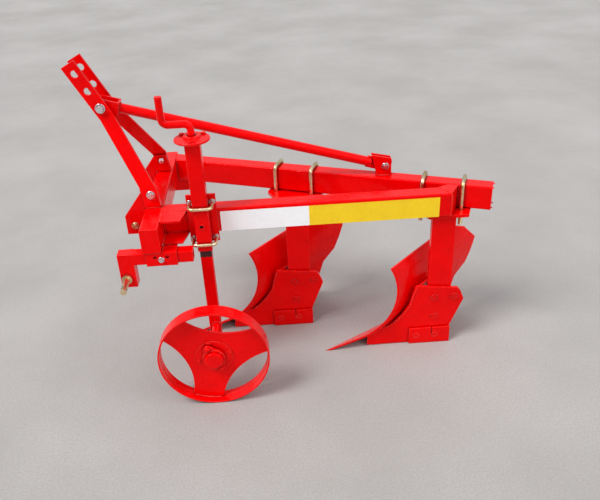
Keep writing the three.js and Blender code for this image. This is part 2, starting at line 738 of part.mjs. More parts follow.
function legBearing() {
  const low = LEG_TOP + SEAM;
  const top = low + BEARING_THICKNESS + BOSS_HEIGHT;
  return cut(
    join(
      rodAlongZ(BEARING_R, LEG_X, LEG_Y, low, low + BEARING_THICKNESS, 48),
      rodAlongZ(BOSS_R, LEG_X, LEG_Y, low + 1, top, 32),
    ),
    rodAlongZ(CRANK_R + SLIDE_GAP, LEG_X, LEG_Y, low - 1, top + 1),
  );
}

function crank() {
  const armZ = LEG_TOP + BEARING_THICKNESS + CRANK_RISE;
  const points = [
    new THREE.Vector3(LEG_X, LEG_Y, LEG_TOP - CRANK_DROP),
    new THREE.Vector3(LEG_X, LEG_Y, armZ),
    new THREE.Vector3(LEG_X + CRANK_ARM, LEG_Y, armZ),
    new THREE.Vector3(LEG_X + CRANK_ARM, LEG_Y, armZ + CRANK_HANDLE),
  ];
  return bentRod(points, CRANK_BEND, CRANK_R, 12, 48);
}

function clampPlate() {
  const half = CLAMP_WIDTH / 2;
  const low = SIDE_BEAM_Y + SEAM;
  const plate = box(
    [LEG_X - half, LEG_X + half],
    [low, low + CLAMP_THICKNESS],
    [FRAME_BOTTOM - CLAMP_BELOW, FRAME_TOP + CLAMP_ABOVE],
  );
  const holes = CLAMP_HEIGHTS.flatMap((z) =>
    [-CLAMP_ROD_SPREAD, CLAMP_ROD_SPREAD].map((side) =>
      rodAlongY(CLAMP_ROD_R + SEAM, LEG_X + side, z, low - 1, low + CLAMP_THICKNESS + 1),
    ),
  );
  return cut(plate, ...holes);
}

function clampRod(z) {
  const near = CLAMP_OUTER_Y - CLAMP_ROD_R;
  const nutY = SIDE_BEAM_Y;
  const tail = nutY - CLAMP_ROD_TAIL;
  const points = [
    new THREE.Vector3(LEG_X - CLAMP_ROD_SPREAD, tail, z),
    new THREE.Vector3(LEG_X - CLAMP_ROD_SPREAD, near, z),
    new THREE.Vector3(LEG_X + CLAMP_ROD_SPREAD, near, z),
    new THREE.Vector3(LEG_X + CLAMP_ROD_SPREAD, tail, z),
  ];
  return join(
    bentRod(points, CLAMP_ROD_BEND, CLAMP_ROD_R, 10, 52),
    rodAlongY(CLAMP_NUT_R, LEG_X - CLAMP_ROD_SPREAD, z, nutY - CLAMP_NUT_HEIGHT, nutY, 6),
    rodAlongY(CLAMP_NUT_R, LEG_X + CLAMP_ROD_SPREAD, z, nutY - CLAMP_NUT_HEIGHT, nutY, 6),
  );
}

// ---- Depth wheel ----

// Rings and hubs are drawn as (radius, y) and turned about the axle.
function turned(points, segments) {
  const profile = points.map(([radius, y]) => new THREE.Vector2(radius, y));
  return new THREE.LatheGeometry(profile, segments).translate(WHEEL_X, 0, WHEEL_R);
}

function wheelRim() {
  const inner = WHEEL_R - RIM_THICKNESS;
  const low = WHEEL_END_Y - RIM_WIDTH;
  return turned(
    [
      [inner, low],
      [WHEEL_R, low],
      [WHEEL_R, WHEEL_END_Y],
      [inner, WHEEL_END_Y],
      [inner, low],
    ],
    96,
  );
}

// The opening between two arms: a lens between the rim and an arc that bulges towards the hub.
function wheelOpening(turn) {
  const reach = WHEEL_R - RIM_THICKNESS - 1;
  const half = CUT_SPAN / 2;
  const chord = reach * Math.sin(half);
  const sag = reach * Math.cos(half) - CUT_DEPTH;
  const bulge = (chord * chord + sag * sag) / (2 * sag);
  const away = CUT_DEPTH + bulge;
  const spread = Math.asin(chord / bulge);
  const shape = new THREE.Shape();
  shape.absarc(0, 0, reach, -half, half, false);
  shape.absarc(away, 0, bulge, Math.PI - spread, Math.PI + spread, false);
  const lens = sideShape(shape, DISC_Y - DISC_THICKNESS - 1, DISC_Y + 1, 20);
  return lens.rotateY(-turn).translate(WHEEL_X, 0, WHEEL_R);
}

function wheelDisc() {
  const reach = WHEEL_R - RIM_THICKNESS - SEAM;
  const disc = rodAlongY(reach, WHEEL_X, WHEEL_R, DISC_Y - DISC_THICKNESS, DISC_Y, 96);
  const bore = rodAlongY(HUB_R + SEAM, WHEEL_X, WHEEL_R, DISC_Y - 2 * DISC_THICKNESS, DISC_Y + 1, 48);
  const openings = Array.from({ length: ARMS }, (_, n) => wheelOpening(CUT_TURN + (n * 2 * Math.PI) / ARMS));
  return cut(disc, bore, ...openings);
}

// A flange with a lobe for each bolt, in the plane of the wheel.
function hubFlange() {
  const shape = new THREE.Shape();
  const reach = (2 * Math.PI) / HUB_BOLTS / 2;
  for (let n = 0; n < HUB_BOLTS; n++) {
    const turn = HUB_BOLT_TURN + 2 * n * reach;
    const middle = [HUB_BOLT_CIRCLE * Math.cos(turn), HUB_BOLT_CIRCLE * Math.sin(turn)];
    shape.absarc(...middle, HUB_LOBE_R, turn - reach, turn + reach, false);
  }
  return sideShape(shape, HUB_FLANGE_Y, HUB_FLANGE_Y + HUB_FLANGE_THICKNESS).translate(WHEEL_X, 0, WHEEL_R);
}

function hubBolt(n) {
  const turn = HUB_BOLT_TURN + (n * 2 * Math.PI) / HUB_BOLTS;
  const x = WHEEL_X + HUB_BOLT_CIRCLE * Math.cos(turn);
  const z = WHEEL_R + HUB_BOLT_CIRCLE * Math.sin(turn);
  const outer = HUB_FLANGE_Y + HUB_FLANGE_THICKNESS;
  return join(
    rodAlongY(HUB_BOLT_R, x, z, DISC_Y + SEAM + 1, outer + 1, 16),
    rodAlongY(HUB_NUT_R, x, z, outer - 1, outer + HUB_NUT_HEIGHT, 6),
  );
}

function wheelHub() {
  const seat = DISC_Y + SEAM;
  const barrel = turned(
    [
      [0, HUB_INNER_Y],
      [HUB_R, HUB_INNER_Y],
      [HUB_R, seat],
      [HUB_SEAT_R, seat],
      [HUB_SEAT_R, seat + HUB_SEAT_THICKNESS],
      [HUB_R, seat + HUB_SEAT_THICKNESS],
      [HUB_R, HUB_FLANGE_Y + HUB_FLANGE_THICKNESS],
      [CAP_R, HUB_FLANGE_Y + HUB_FLANGE_THICKNESS],
      [CAP_R, HUB_OUTER_Y - CAP_ROUNDING],
      [CAP_EDGE_R, HUB_OUTER_Y],
      [0, HUB_OUTER_Y],
    ],
    48,
  );
  const bolts = Array.from({ length: HUB_BOLTS }, (_, n) => hubBolt(n));
  const bore = rodAlongY(AXLE_R + AXLE_GAP, WHEEL_X, WHEEL_R, HUB_INNER_Y - 1, HUB_OUTER_Y - HUB_END, 48);
  return cut(join(barrel, hubFlange(), ...bolts), bore);
}

function wheelAxle() {
  const start = LEG_Y - SLIDE_SIZE / 2 - AXLE_ROOT;
  const face = HUB_INNER_Y - SEAM;
  return join(
    rodAlongY(AXLE_R, WHEEL_X, WHEEL_R, start, HUB_OUTER_Y - HUB_END - AXLE_END_GAP, 32),
    rodAlongY(AXLE_COLLAR_R, WHEEL_X, WHEEL_R, face - AXLE_COLLAR_LENGTH, face, 32),
  );
}

// ---- One plough bottom ----

function beamRodPlaces(bottom) {
  return bottom.rods.map((along) => [
    bottomPoint(bottom, along, -BEAM_ROD_SPREAD),
    bottomPoint(bottom, along, BEAM_ROD_SPREAD),
  ]);
}

// A point of the main beam in the bottom's own frame.
function bottomPoint(bottom, along, left) {
  const centreY = beamFaceY(bottom.x) - BEAM_ACROSS / 2 - bottom.y;
  return [-along * BEAM_COS + left * BEAM_SIN, centreY + along * BEAM_SIN + left * BEAM_COS];
}

function standard(bottom) {
  const half = STANDARD_WIDTH / 2;
  const face = -LANDSIDE_THICKNESS - FROG_THICKNESS - 2 * SEAM;
  const rearLine = [bottomPoint(bottom, TOP_PLATE_REAR, 0), bottomPoint(bottom, TOP_PLATE_REAR, 1)];
  const slope = (rearLine[1][0] - rearLine[0][0]) / (rearLine[1][1] - rearLine[0][1]);
  const rearX = rearLine[0][0] + (-TOP_PLATE_EDGE - rearLine[0][1]) * slope;
  const points = [
    bottomPoint(bottom, -TOP_PLATE_FRONT, -TOP_PLATE_FAR),
    bottomPoint(bottom, -TOP_PLATE_FRONT, TOP_PLATE_FAR),
    [half + TOP_PLATE_NOSE, -TOP_PLATE_EDGE],
    [rearX, -TOP_PLATE_EDGE],
    bottomPoint(bottom, TOP_PLATE_REAR, -TOP_PLATE_FAR),
  ];
  const plateLow = TOP_PLATE_TOP - TOP_PLATE_THICKNESS;
  const plate = flatPiece(points, plateLow, TOP_PLATE_TOP);
  const bar = box([-half, half], [face - STANDARD_THICKNESS, face], [STANDARD_BOTTOM, plateLow + 1]);
  const holes = beamRodPlaces(bottom)
    .flat()
    .map(([x, y]) => rodAlongZ(BEAM_ROD_R + SEAM, x, y, plateLow - 1, TOP_PLATE_TOP + 1));
  return cut(join(plate, bar), ...holes);
}

// Over the main beam and down through the top plate, with a nut on each end.
function beamRod(place) {
  const plateLow = TOP_PLATE_TOP - TOP_PLATE_THICKNESS - SEAM;
  const top = FRAME_TOP + BEAM_ROD_GAP + BEAM_ROD_R;
  const [far, near] = place.map(([x, y]) => new THREE.Vector3(x, y, plateLow - BEAM_ROD_TAIL));
  const points = [far, far.clone().setZ(top), near.clone().setZ(top), near];
  const nuts = place.map(([x, y]) => rodAlongZ(BEAM_NUT_R, x, y, plateLow - BEAM_NUT_HEIGHT, plateLow, 6));
  return join(bentRod(points, BEAM_ROD_BEND, BEAM_ROD_R, 12, 48), ...nuts);
}

function landside() {
  const slit = box(
    [LANDSIDE_SLIT_X, LANDSIDE_SLIT_X + LANDSIDE_SLIT_WIDTH],
    [-LANDSIDE_THICKNESS - 1, 1],
    [LANDSIDE_HEIGHT - LANDSIDE_SLIT_DEPTH, LANDSIDE_HEIGHT + 1],
  );
  const bar = box([LANDSIDE_REAR, LANDSIDE_FRONT], [-LANDSIDE_THICKNESS, 0], [0, LANDSIDE_HEIGHT]);
  return cut(bar, slit);
}

// Side view of everything between two depths behind the working face, from a start height upwards.
function sheetShape(depth, backDepth, fromShare) {
  const normal = new THREE.Vector2(-Math.sin(SHARE_ANGLE), -Math.cos(SHARE_ANGLE));
  const first = Math.PI + (Math.PI / 2 - SHARE_ANGLE);
  const last = Math.PI - SHEET_SWEEP;
  const shape = new THREE.Shape();
  const tip = new THREE.Vector2(SHARE_TIP, 0);
  if (fromShare) shape.moveTo(tip.x + normal.x * depth, tip.y + normal.y * depth);
  shape.absarc(SHEET_CENTRE.x, SHEET_CENTRE.y, SHEET_R + depth, first, last, true);
  if (backDepth === Infinity) {
    shape.lineTo(SHARE_TIP + FAR, FRAME_TOP);
    shape.lineTo(SHARE_TIP + FAR, -FAR);
    shape.lineTo(tip.x + normal.x * depth, -FAR);
  } else {
    shape.absarc(SHEET_CENTRE.x, SHEET_CENTRE.y, SHEET_R + backDepth, last, first, false);
    if (fromShare) shape.lineTo(tip.x + normal.x * backDepth, tip.y + normal.y * backDepth);
  }
  return shape;
}

// The angle of the sheet's level lines from the direction of travel, at a height.
function sheetTurn(z) {
  return THREE.MathUtils.lerp(SHARE_TURN, SHEET_TURN, THREE.MathUtils.smoothstep(z, TURN_START, TURN_END));
}

// Extrudes a side view across the furrow, and turns every level line back about the hinge's plane.
function acrossFurrow(shape, near, width, hinge = SHIN_OVERHANG, turn = sheetTurn) {
  const options = { depth: width, steps: SHEET_STEPS, bevelEnabled: false, curveSegments: SHEET_SEGMENTS };
  const made = new THREE.ExtrudeGeometry(shape, options).rotateX(Math.PI / 2).translate(0, near, 0);
  const place = made.getAttribute("position");
  for (let i = 0; i < place.count; i++) {
    const drift = (place.getY(i) - hinge) / Math.tan(THREE.MathUtils.degToRad(turn(place.getZ(i))));
    place.setX(i, place.getX(i) + drift);
  }
  return made;
}

function moldboard() {
  const sheet = acrossFurrow(sheetShape(0, BLADE_THICKNESS, false), SHIN_OVERHANG, SHEET_SPAN);
  const low = SHEET_START.y - 2 * BLADE_THICKNESS;
  const outer = [
    [SHIN_X, low],
    [SHIN_X, SHIN_TOP],
    ...MOLDBOARD_EDGE,
    [MOLDBOARD_HEEL, low],
  ];
  return common(sheet, sidePiece(outer, -SHEET_SPAN, SHIN_OVERHANG + 1));
}

function share() {
  const down = new THREE.Vector2(Math.cos(SHARE_ANGLE), -Math.sin(SHARE_ANGLE));
  const back = new THREE.Vector2(-Math.sin(SHARE_ANGLE), -Math.cos(SHARE_ANGLE));
  const top = SHEET_START.clone().addScaledVector(down, SEAM);
  const rear = top.clone().addScaledVector(back, BLADE_THICKNESS);
  const shape = outline([
    [SHARE_TIP, 0],
    [top.x, top.y],
    [rear.x, rear.y],
    [SHARE_TIP - BLADE_THICKNESS / Math.sin(SHARE_ANGLE), 0],
  ]);
  return acrossFurrow(shape, SHIN_OVERHANG, SHARE_WIDTH);
}

// Everything in front of the back of share and moldboard, to trim the pieces that seat against them.
function sheetRoom() {
  const shape = sheetShape(BLADE_THICKNESS + SEAM, Infinity, true);
  return acrossFurrow(shape, SHIN_OVERHANG, SHEET_SPAN + LANDSIDE_FRONT);
}

// The plate behind the landside, and a flange that runs from its front edge across to the moldboard.
function frog() {
  const face = -LANDSIDE_THICKNESS - SEAM;
  const foot = [
    [FROG_EDGE.at(-1)[0] - FROG_TOE, FROG_FOOT],
    [FROG_REAR[0][0], FROG_FOOT],
  ];
  const plate = sidePiece([...FROG_EDGE, ...foot, ...FROG_REAR], face - FROG_THICKNESS, face);
  const back = FROG_EDGE.map(([x, z]) => [x - SEAT_THICKNESS, z]).reverse();
  const flange = acrossFurrow(outline([...FROG_EDGE, ...back]), face, SEAT_WIDTH, face, () => SEAT_TURN);
  return cut(join(plate, flange), sheetRoom());
}

// From the back of the standard to the back of the moldboard, trimmed to both.
function moldboardStay() {
  const start = -LANDSIDE_THICKNESS - FROG_THICKNESS - STANDARD_THICKNESS - 3 * SEAM;
  const from = new THREE.Vector3(0, start + 2 * STAY_R, STAY_Z);
  const to = new THREE.Vector3(-STAY_DRIFT, start - STAY_REACH, STAY_Z);
  const standardSide = box([-FAR, FAR], [start, start + FAR], [STAY_Z - FAR, STAY_Z + FAR]);
  return cut(alongPath(new THREE.LineCurve3(from, to), STAY_R, 16, 1), standardSide, sheetRoom());
}

// ---- The whole plough ----

const plough = new THREE.Group();

plough.add(mesh("cross_member", crossMember(), paint));
plough.add(mesh("main_beam", mainBeam(), paint));
plough.add(mesh("side_beam", sideBeam(), paint));
plough.add(mesh("corner_gusset_top", cornerGusset(FRAME_TOP), paint));
plough.add(mesh("corner_gusset_bottom", cornerGusset(FRAME_BOTTOM + GUSSET_THICKNESS), paint));

plough.add(mesh("mast_strap_left", mastStrap(), paint));
plough.add(mesh("mast_strap_right", mirrored(mastStrap()), paint));
plough.add(mesh("headstock_plate_left", headstockPlate(), paint));
plough.add(mesh("headstock_plate_right", mirrored(headstockPlate()), paint));
plough.add(mesh("mast_bolt", mastBolt(), zinc));

const braceMesh = mesh("mast_brace", brace(), paint);
braceMesh.position.set(BRACE_TOP.x, 0, BRACE_TOP.y);
braceMesh.rotation.y = -Math.atan2(BRACE_TOP.y - BRACE_END.y, BRACE_TOP.x - BRACE_END.x);
plough.add(braceMesh);
plough.add(mesh("brace_lug", braceLug(), paint));
plough.add(mesh("brace_lug_bolt", lugBolt(), zinc));

plough.add(mesh("hitch_sleeve_left", hitchSleeve(), paint));
plough.add(mesh("hitch_sleeve_right", mirrored(hitchSleeve()), paint));
plough.add(mesh("hitch_arm_left", hitchArm(), paint));
plough.add(mesh("hitch_arm_right", mirrored(hitchArm()), paint));
plough.add(mesh("hitch_pin_left", hitchPin(), gold));
plough.add(mesh("hitch_pin_right", mirrored(hitchPin()), gold));

plough.add(mesh("leg_tube", legTube(), paint));
plough.add(mesh("leg_bearing", legBearing(), paint));
plough.add(mesh("depth_crank", crank(), paint));
plough.add(mesh("leg_clamp_plate", clampPlate(), paint));
plough.add(mesh("leg_clamp_rod_upper", clampRod(CLAMP_HEIGHTS[0]), gold));
plough.add(mesh("leg_clamp_rod_lower", clampRod(CLAMP_HEIGHTS[1]), gold));
plough.add(mesh("slide_tube", slideTube(), paint));
plough.add(mesh("wheel_axle", wheelAxle(), paint));
plough.add(mesh("wheel_rim", wheelRim(), paint));
plough.add(mesh("wheel_disc", wheelDisc(), paint));
plough.add(mesh("wheel_hub", wheelHub(), paint));

for (const bottom of BOTTOMS) {
  const end = bottom.name;
  const group = new THREE.Group();
  group.position.set(bottom.x, bottom.y, 0);
  group.add(mesh(end + "_standard", standard(bottom), paint));
  beamRodPlaces(bottom).forEach((place, k) => {
    group.add(mesh(end + "_beam_rod_" + (k + 1), beamRod(place), gold));
  });
  group.add(mesh(end + "_frog", frog(), paint));
  group.add(mesh(end + "_landside", landside(), paint));
  group.add(mesh(end + "_moldboard", moldboard(), paint));
  group.add(mesh(end + "_share", share(), paint));
  group.add(mesh(end + "_moldboard_stay", moldboardStay(), paint));
  plough.add(group);
}

// The origin is the bottom centre of the plough's own box.
plough.updateMatrixWorld(true);
const bounds = new THREE.Box3().setFromObject(plough, true);
plough.position.set(-(bounds.min.x + bounds.max.x) / 2, -(bounds.min.y + bounds.max.y) / 2, -bounds.min.z);

const part = new THREE.Group();
part.add(plough);

export default part;
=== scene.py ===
"""Two-furrow mounted moldboard plough in gloss red enamel, on a plain pale floor.

Blender works in metres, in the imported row's frame. Pieces are laid out in mm, and MM turns mm into metres.
"""

import json
import math
import random

import bmesh
import bpy
from mathutils import Matrix, Vector


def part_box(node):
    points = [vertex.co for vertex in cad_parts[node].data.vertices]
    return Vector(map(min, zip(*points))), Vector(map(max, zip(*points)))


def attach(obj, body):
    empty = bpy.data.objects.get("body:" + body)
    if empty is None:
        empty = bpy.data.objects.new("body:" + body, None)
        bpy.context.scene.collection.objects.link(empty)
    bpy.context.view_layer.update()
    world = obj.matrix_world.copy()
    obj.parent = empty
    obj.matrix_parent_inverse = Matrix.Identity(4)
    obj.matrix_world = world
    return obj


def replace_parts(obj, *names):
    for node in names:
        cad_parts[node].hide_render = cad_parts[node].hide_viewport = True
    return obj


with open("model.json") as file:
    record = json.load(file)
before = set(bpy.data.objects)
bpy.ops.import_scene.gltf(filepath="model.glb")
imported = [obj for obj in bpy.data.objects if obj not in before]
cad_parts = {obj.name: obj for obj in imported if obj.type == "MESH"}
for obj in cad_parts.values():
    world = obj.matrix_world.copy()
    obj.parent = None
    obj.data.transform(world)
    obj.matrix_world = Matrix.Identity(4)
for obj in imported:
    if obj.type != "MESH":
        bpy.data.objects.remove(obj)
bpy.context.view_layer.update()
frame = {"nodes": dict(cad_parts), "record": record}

MM = 0.001
X_AXIS = Vector((1, 0, 0))
Y_AXIS = Vector((0, 1, 0))
Z_AXIS = Vector((0, 0, 1))
NODES = frame["nodes"]
BODY_OF = {n: body for body, nodes in frame["record"]["behaviour"]["bodies"].items() for n in nodes}
SLOT_OF = {part["node"]: part["material_slot"] for part in frame["record"]["subparts"]}
wobble = random.Random(7)

# ---- Camera ----

CAMERA_PLACE = Vector((0.0620, 2.2600, 1.6585))
CAMERA_LOOK = Vector((-0.0303, -0.8655, -0.5002))
CAMERA_ROLL = -0.0487
CAMERA_WIDTH_ANGLE = math.radians(47.75)


def add_camera():
    forward = CAMERA_LOOK.normalized()
    level = forward.cross(Z_AXIS).normalized()
    above = level.cross(forward)
    right = math.cos(CAMERA_ROLL) * level + math.sin(CAMERA_ROLL) * above
    up = -math.sin(CAMERA_ROLL) * level + math.cos(CAMERA_ROLL) * above
    data = bpy.data.cameras.new("camera")
    data.angle = CAMERA_WIDTH_ANGLE
    camera = bpy.data.objects.new("camera", data)
    turn = Matrix((right, up, -forward)).transposed()
    camera.matrix_world = Matrix.Translation(CAMERA_PLACE) @ turn.to_4x4()
    bpy.context.scene.collection.objects.link(camera)
    bpy.context.scene.camera = camera


# ---- Node materials ----


class Material:
    """A Principled material and short calls for the nodes that feed it."""

    def __init__(self, name, **sockets):
        self.made = bpy.data.materials.new(name)
        self.made.use_nodes = True
        self.tree = self.made.node_tree
        self.shader = self.tree.nodes["Principled BSDF"]
        for socket, value in sockets.items():
            self.shader.inputs[socket.replace("_", " ")].default_value = value
        self.place = self.node("ShaderNodeTexCoord").outputs["Object"]

    def node(self, kind, **inputs):
        made = self.tree.nodes.new(kind)
        for socket, value in inputs.items():
            self.feed(made.inputs[socket.replace("_", " ")], value)
        return made

    def feed(self, socket, value):
        if isinstance(value, bpy.types.NodeSocket):
            self.tree.links.new(value, socket)
        else:
            socket.default_value = value

    def noise(self, scale, detail=3.0, roughness=0.55, stretch=None):
        place = self.place
        if stretch:
            place = self.node("ShaderNodeMapping", Vector=place, Scale=stretch).outputs[0]
        made = self.node("ShaderNodeTexNoise", Vector=place, Scale=scale, Detail=detail, Roughness=roughness)
        return made.outputs["Fac"]

    def cells(self, scale):
        return self.node("ShaderNodeTexVoronoi", Vector=self.place, Scale=scale).outputs["Color"]

    def span(self, value, low, high, first=0.0, last=1.0):
        made = self.node("ShaderNodeMapRange", Value=value)
        for socket, number in zip(("From Min", "From Max", "To Min", "To Max"), (low, high, first, last)):
            made.inputs[socket].default_value = number
        return made.outputs["Result"]

    def math(self, operation, first, second):
        made = self.tree.nodes.new("ShaderNodeMath")
        made.operation = operation
        self.feed(made.inputs[0], first)
        self.feed(made.inputs[1], second)
        return made.outputs[0]

    def mix(self, factor, first, second):
        made = self.tree.nodes.new("ShaderNodeMix")
        made.data_type = "RGBA"
        self.feed(made.inputs[0], factor)
        for socket, value in zip(made.inputs[6:8], (first, second)):
            self.feed(socket, value if isinstance(value, bpy.types.NodeSocket) else (*value, 1))
        return made.outputs[2]

    def colour(self, value):
        self.feed(self.shader.inputs["Base Color"], value)

    def rough(self, value):
        self.feed(self.shader.inputs["Roughness"], value)

    def bump(self, *layers):
        """Layers of (height, distance in metres)."""
        normal = None
        for height, distance in layers:
            made = self.node("ShaderNodeBump", Height=height, Distance=distance)
            if normal:
                self.tree.links.new(normal, made.inputs["Normal"])
            normal = made.outputs[0]
        self.tree.links.new(normal, self.shader.inputs["Normal"])

    def crevice_shade(self, reach, dark, light):
        """1 in narrow gaps and inside corners, where shade falls, and 0 in the open: the mask for painted
        shade.
        """
        made = self.tree.nodes.new("ShaderNodeAmbientOcclusion")
        made.samples = 6
        made.inputs["Distance"].default_value = reach
        return self.span(made.outputs["AO"], dark, light, 1.0, 0.0)

    def height(self):
        return self.node("ShaderNodeSeparateXYZ", Vector=self.place).outputs["Z"]

    def edges(self, radius):
        """1 on edges, for chips, thinned paint and painted edge highlights, and 0 on flat ground."""
        bevel = self.tree.nodes.new("ShaderNodeBevel")
        bevel.samples = 4
        bevel.inputs["Radius"].default_value = radius
        flat = self.tree.nodes.new("ShaderNodeNewGeometry")
        dot = self.tree.nodes.new("ShaderNodeVectorMath")
        dot.operation = "DOT_PRODUCT"
        self.tree.links.new(bevel.outputs[0], dot.inputs[0])
        self.tree.links.new(flat.outputs["Normal"], dot.inputs[1])
        return self.span(dot.outputs["Value"], 0.995, 0.9)


# Colours, as linear red, green and blue.
RED = (0.93, 0.0003, 0.0008)
DEEP_RED = (0.80, 0.0002, 0.0005)
# Pink for edges: thinned paint, and a painted highlight along the edges.
THIN_PAINT_AND_HIGHLIGHT_RED = (1.0, 0.15, 0.13)
PRIMER = (0.36, 0.05, 0.045)
DUST = (0.93, 0.03, 0.05)
# Dark red for gaps and corners: dirt, and painted shade.
GRIME_AND_PAINTED_SHADE = (0.10, 0.0, 0.0)
SCUFF = (0.34, 0.0, 0.0)
SHEEN_TINT = (1.0, 0.05, 0.06, 1)
BLACK_SCALE = (0.008, 0.008, 0.010)
BROWN_SCALE = (0.055, 0.045, 0.045)
ZINC_DARK = (0.62, 0.64, 0.66)
ZINC_LIGHT = (0.92, 0.93, 0.93)
# Dark for the zinc's gaps and corners: painted shade.
ZINC_PAINTED_SHADE = (0.10, 0.09, 0.09)
GOLD_DEEP = (0.74, 0.54, 0.24)
GOLD_PALE = (0.92, 0.82, 0.55)
GOLD_BLUSH = (0.86, 0.58, 0.44)
GOLD_STAIN = (0.34, 0.21, 0.10)
# Dark for the gold plating's gaps and corners: painted shade.
GOLD_PAINTED_SHADE = (0.09, 0.06, 0.04)
WHITE_VINYL = (0.98, 0.99, 1.0)
WHITE_DULL = (0.92, 0.92, 0.93)
YELLOW_VINYL = (0.98, 0.66, 0.004)
YELLOW_DULL = (0.90, 0.58, 0.004)
FLOOR_DARK = (0.365, 0.348, 0.333)
FLOOR_PALE = (0.45, 0.43, 0.415)
FLOOR_SPECK = (0.28, 0.262, 0.248)
HORIZON = (0.26, 0.27, 0.28, 1)
SKY = (0.93, 0.96, 1.0, 1)


def red_paint():
    """Gloss enamel: uneven tone, a dusty film, scuffs, chipped edges, edges lightened pink as thinned paint
    and as a painted highlight, and patchy dirt together with painted shade darkening the corners.
    """
    made = Material("red_paint", Metallic=0.0, IOR=1.45, Specular_IOR_Level=0.45, Specular_Tint=SHEEN_TINT)
    made.shader.inputs["Coat Weight"].default_value = 0.12
    made.shader.inputs["Coat Roughness"].default_value = 0.07
    tone = made.span(made.noise(7.0, 4.0), 0.35, 0.68)
    red = made.mix(tone, DEEP_RED, RED)
    film = made.math("MULTIPLY", made.span(made.noise(22.0, 6.0, 0.7), 0.55, 0.9), 0.18)
    red = made.mix(film, red, DUST)
    scuffs = made.math("MULTIPLY", made.span(made.noise(31.0, 6.0, 0.75), 0.60, 0.72), 0.4)
    red = made.mix(scuffs, red, SCUFF)
    # Edges: chips down to the primer are real wear; the pink lightening is thinned paint and a painted
    # highlight along the edges.
    edge_wear_and_highlight = made.edges(0.0013)
    thin_paint_and_highlight = made.math("MULTIPLY", edge_wear_and_highlight, made.span(made.noise(60.0, 4.0), 0.3, 0.65, 0.15, 0.8))
    red = made.mix(thin_paint_and_highlight, red, THIN_PAINT_AND_HIGHLIGHT_RED)
    chips = made.math("MULTIPLY", edge_wear_and_highlight, made.span(made.noise(260.0, 2.0), 0.66, 0.70))
    red = made.mix(chips, red, PRIMER)
    # Darkening in narrow gaps and inside corners, broken into patches: painted shade, with patches of dirt.
    patchy = made.span(made.noise(45.0, 3.0), 0.2, 0.6, 0.55, 0.9)
    grime_and_shade = made.math("MULTIPLY", made.crevice_shade(0.014, 0.25, 0.85), patchy)
    red = made.mix(grime_and_shade, red, GRIME_AND_PAINTED_SHADE)
    made.colour(red)
    made.rough(made.math("ADD", made.span(made.noise(15.0, 5.0, 0.65), 0.3, 0.7, 0.2, 0.34), chips))
    made.bump((made.noise(38.0, 2.0), 0.0011), (made.noise(420.0, 2.0), 0.00022))
    return made.made


def slide_paint():
    """Red below, and bare black steel where the leg's tube has kept the paint off."""
    made = Material("slide_paint", Metallic=0.0, Specular_IOR_Level=0.4, Specular_Tint=SHEEN_TINT)
    uneven = made.span(made.noise(70.0), 0, 1, -0.004, 0.004)
    line = SLIDE_PAINT_TOP
    bare = made.span(made.math("ADD", made.height(), uneven), line, line + 0.0015)
    red = made.mix(made.span(made.noise(9.0), 0.35, 0.68), DEEP_RED, RED)
    scale = made.mix(made.noise(55.0, 5.0, 0.7, (1, 1, 0.15)), BLACK_SCALE, BROWN_SCALE)
    made.colour(made.mix(bare, red, scale))
    made.rough(made.span(made.noise(30.0), 0.3, 0.7, 0.28, 0.42))
    made.bump((made.noise(45.0, 3.0), 0.0009), (made.noise(400.0, 2.0), 0.0002))
    return made.made


def bright_zinc():
    """Silvery plating with a fine spangle, and painted shade darkening its gaps and corners."""
    made = Material("bright_zinc", Metallic=1.0)
    steel = made.mix(made.cells(420.0), ZINC_DARK, ZINC_LIGHT)
    # Painted shade in narrow gaps and inside corners.
    made.colour(made.mix(made.crevice_shade(0.006, 0.2, 0.8), steel, ZINC_PAINTED_SHADE))
    made.rough(made.span(made.noise(120.0), 0.3, 0.7, 0.14, 0.34))
    made.bump((made.noise(300.0, 3.0), 0.0003))
    return made.made


def yellow_zinc():
    """Passivated plating: gold, with a pink blush and brown stains, and painted shade darkening its gaps and
    corners.
    """
    made = Material("yellow_zinc", Metallic=1.0)
    tint = made.mix(made.span(made.noise(34.0, 3.0), 0.38, 0.62), GOLD_DEEP, GOLD_PALE)
    blush = made.span(made.noise(55.0, 2.0), 0.52, 0.68, 0.0, 0.7)
    tint = made.mix(blush, tint, GOLD_BLUSH)
    stain = made.math("MULTIPLY", made.span(made.noise(24.0, 4.0, 0.7), 0.5, 0.7), 0.6)
    tint = made.mix(stain, tint, GOLD_STAIN)
    # Painted shade in narrow gaps and inside corners.
    made.colour(made.mix(made.crevice_shade(0.008, 0.2, 0.8), tint, GOLD_PAINTED_SHADE))
    made.rough(made.span(made.noise(90.0, 4.0), 0.3, 0.7, 0.18, 0.40))
    made.bump((made.noise(260.0, 3.0), 0.0003))
    return made.made


def sheet_vinyl(name, light, dull):
    """A plain glued-on panel, a little soiled."""
    made = Material(name, Metallic=0.0, Specular_IOR_Level=0.5)
    made.colour(made.mix(made.span(made.noise(26.0, 6.0, 0.7), 0.42, 0.75), light, dull))
    made.rough(made.span(made.noise(40.0), 0.3, 0.7, 0.25, 0.38))
    made.bump((made.noise(70.0, 2.0), 0.0003))
    return made.made


def pale_floor():
    made = Material("pale_floor", Metallic=0.0, Specular_IOR_Level=0.25)
    broad = made.mix(made.span(made.noise(1.3, 4.0), 0.35, 0.7), FLOOR_DARK, FLOOR_PALE)
    speck = made.span(made.noise(140.0, 4.0, 0.7), 0.35, 0.7, 0, 0.6)
    made.colour(made.mix(speck, broad, FLOOR_SPECK))
    made.rough(made.span(made.noise(12.0), 0.3, 0.7, 0.7, 0.9))
    made.bump((made.noise(160.0, 5.0, 0.7), 0.0012))
    return made.made


# ---- Making pieces ----

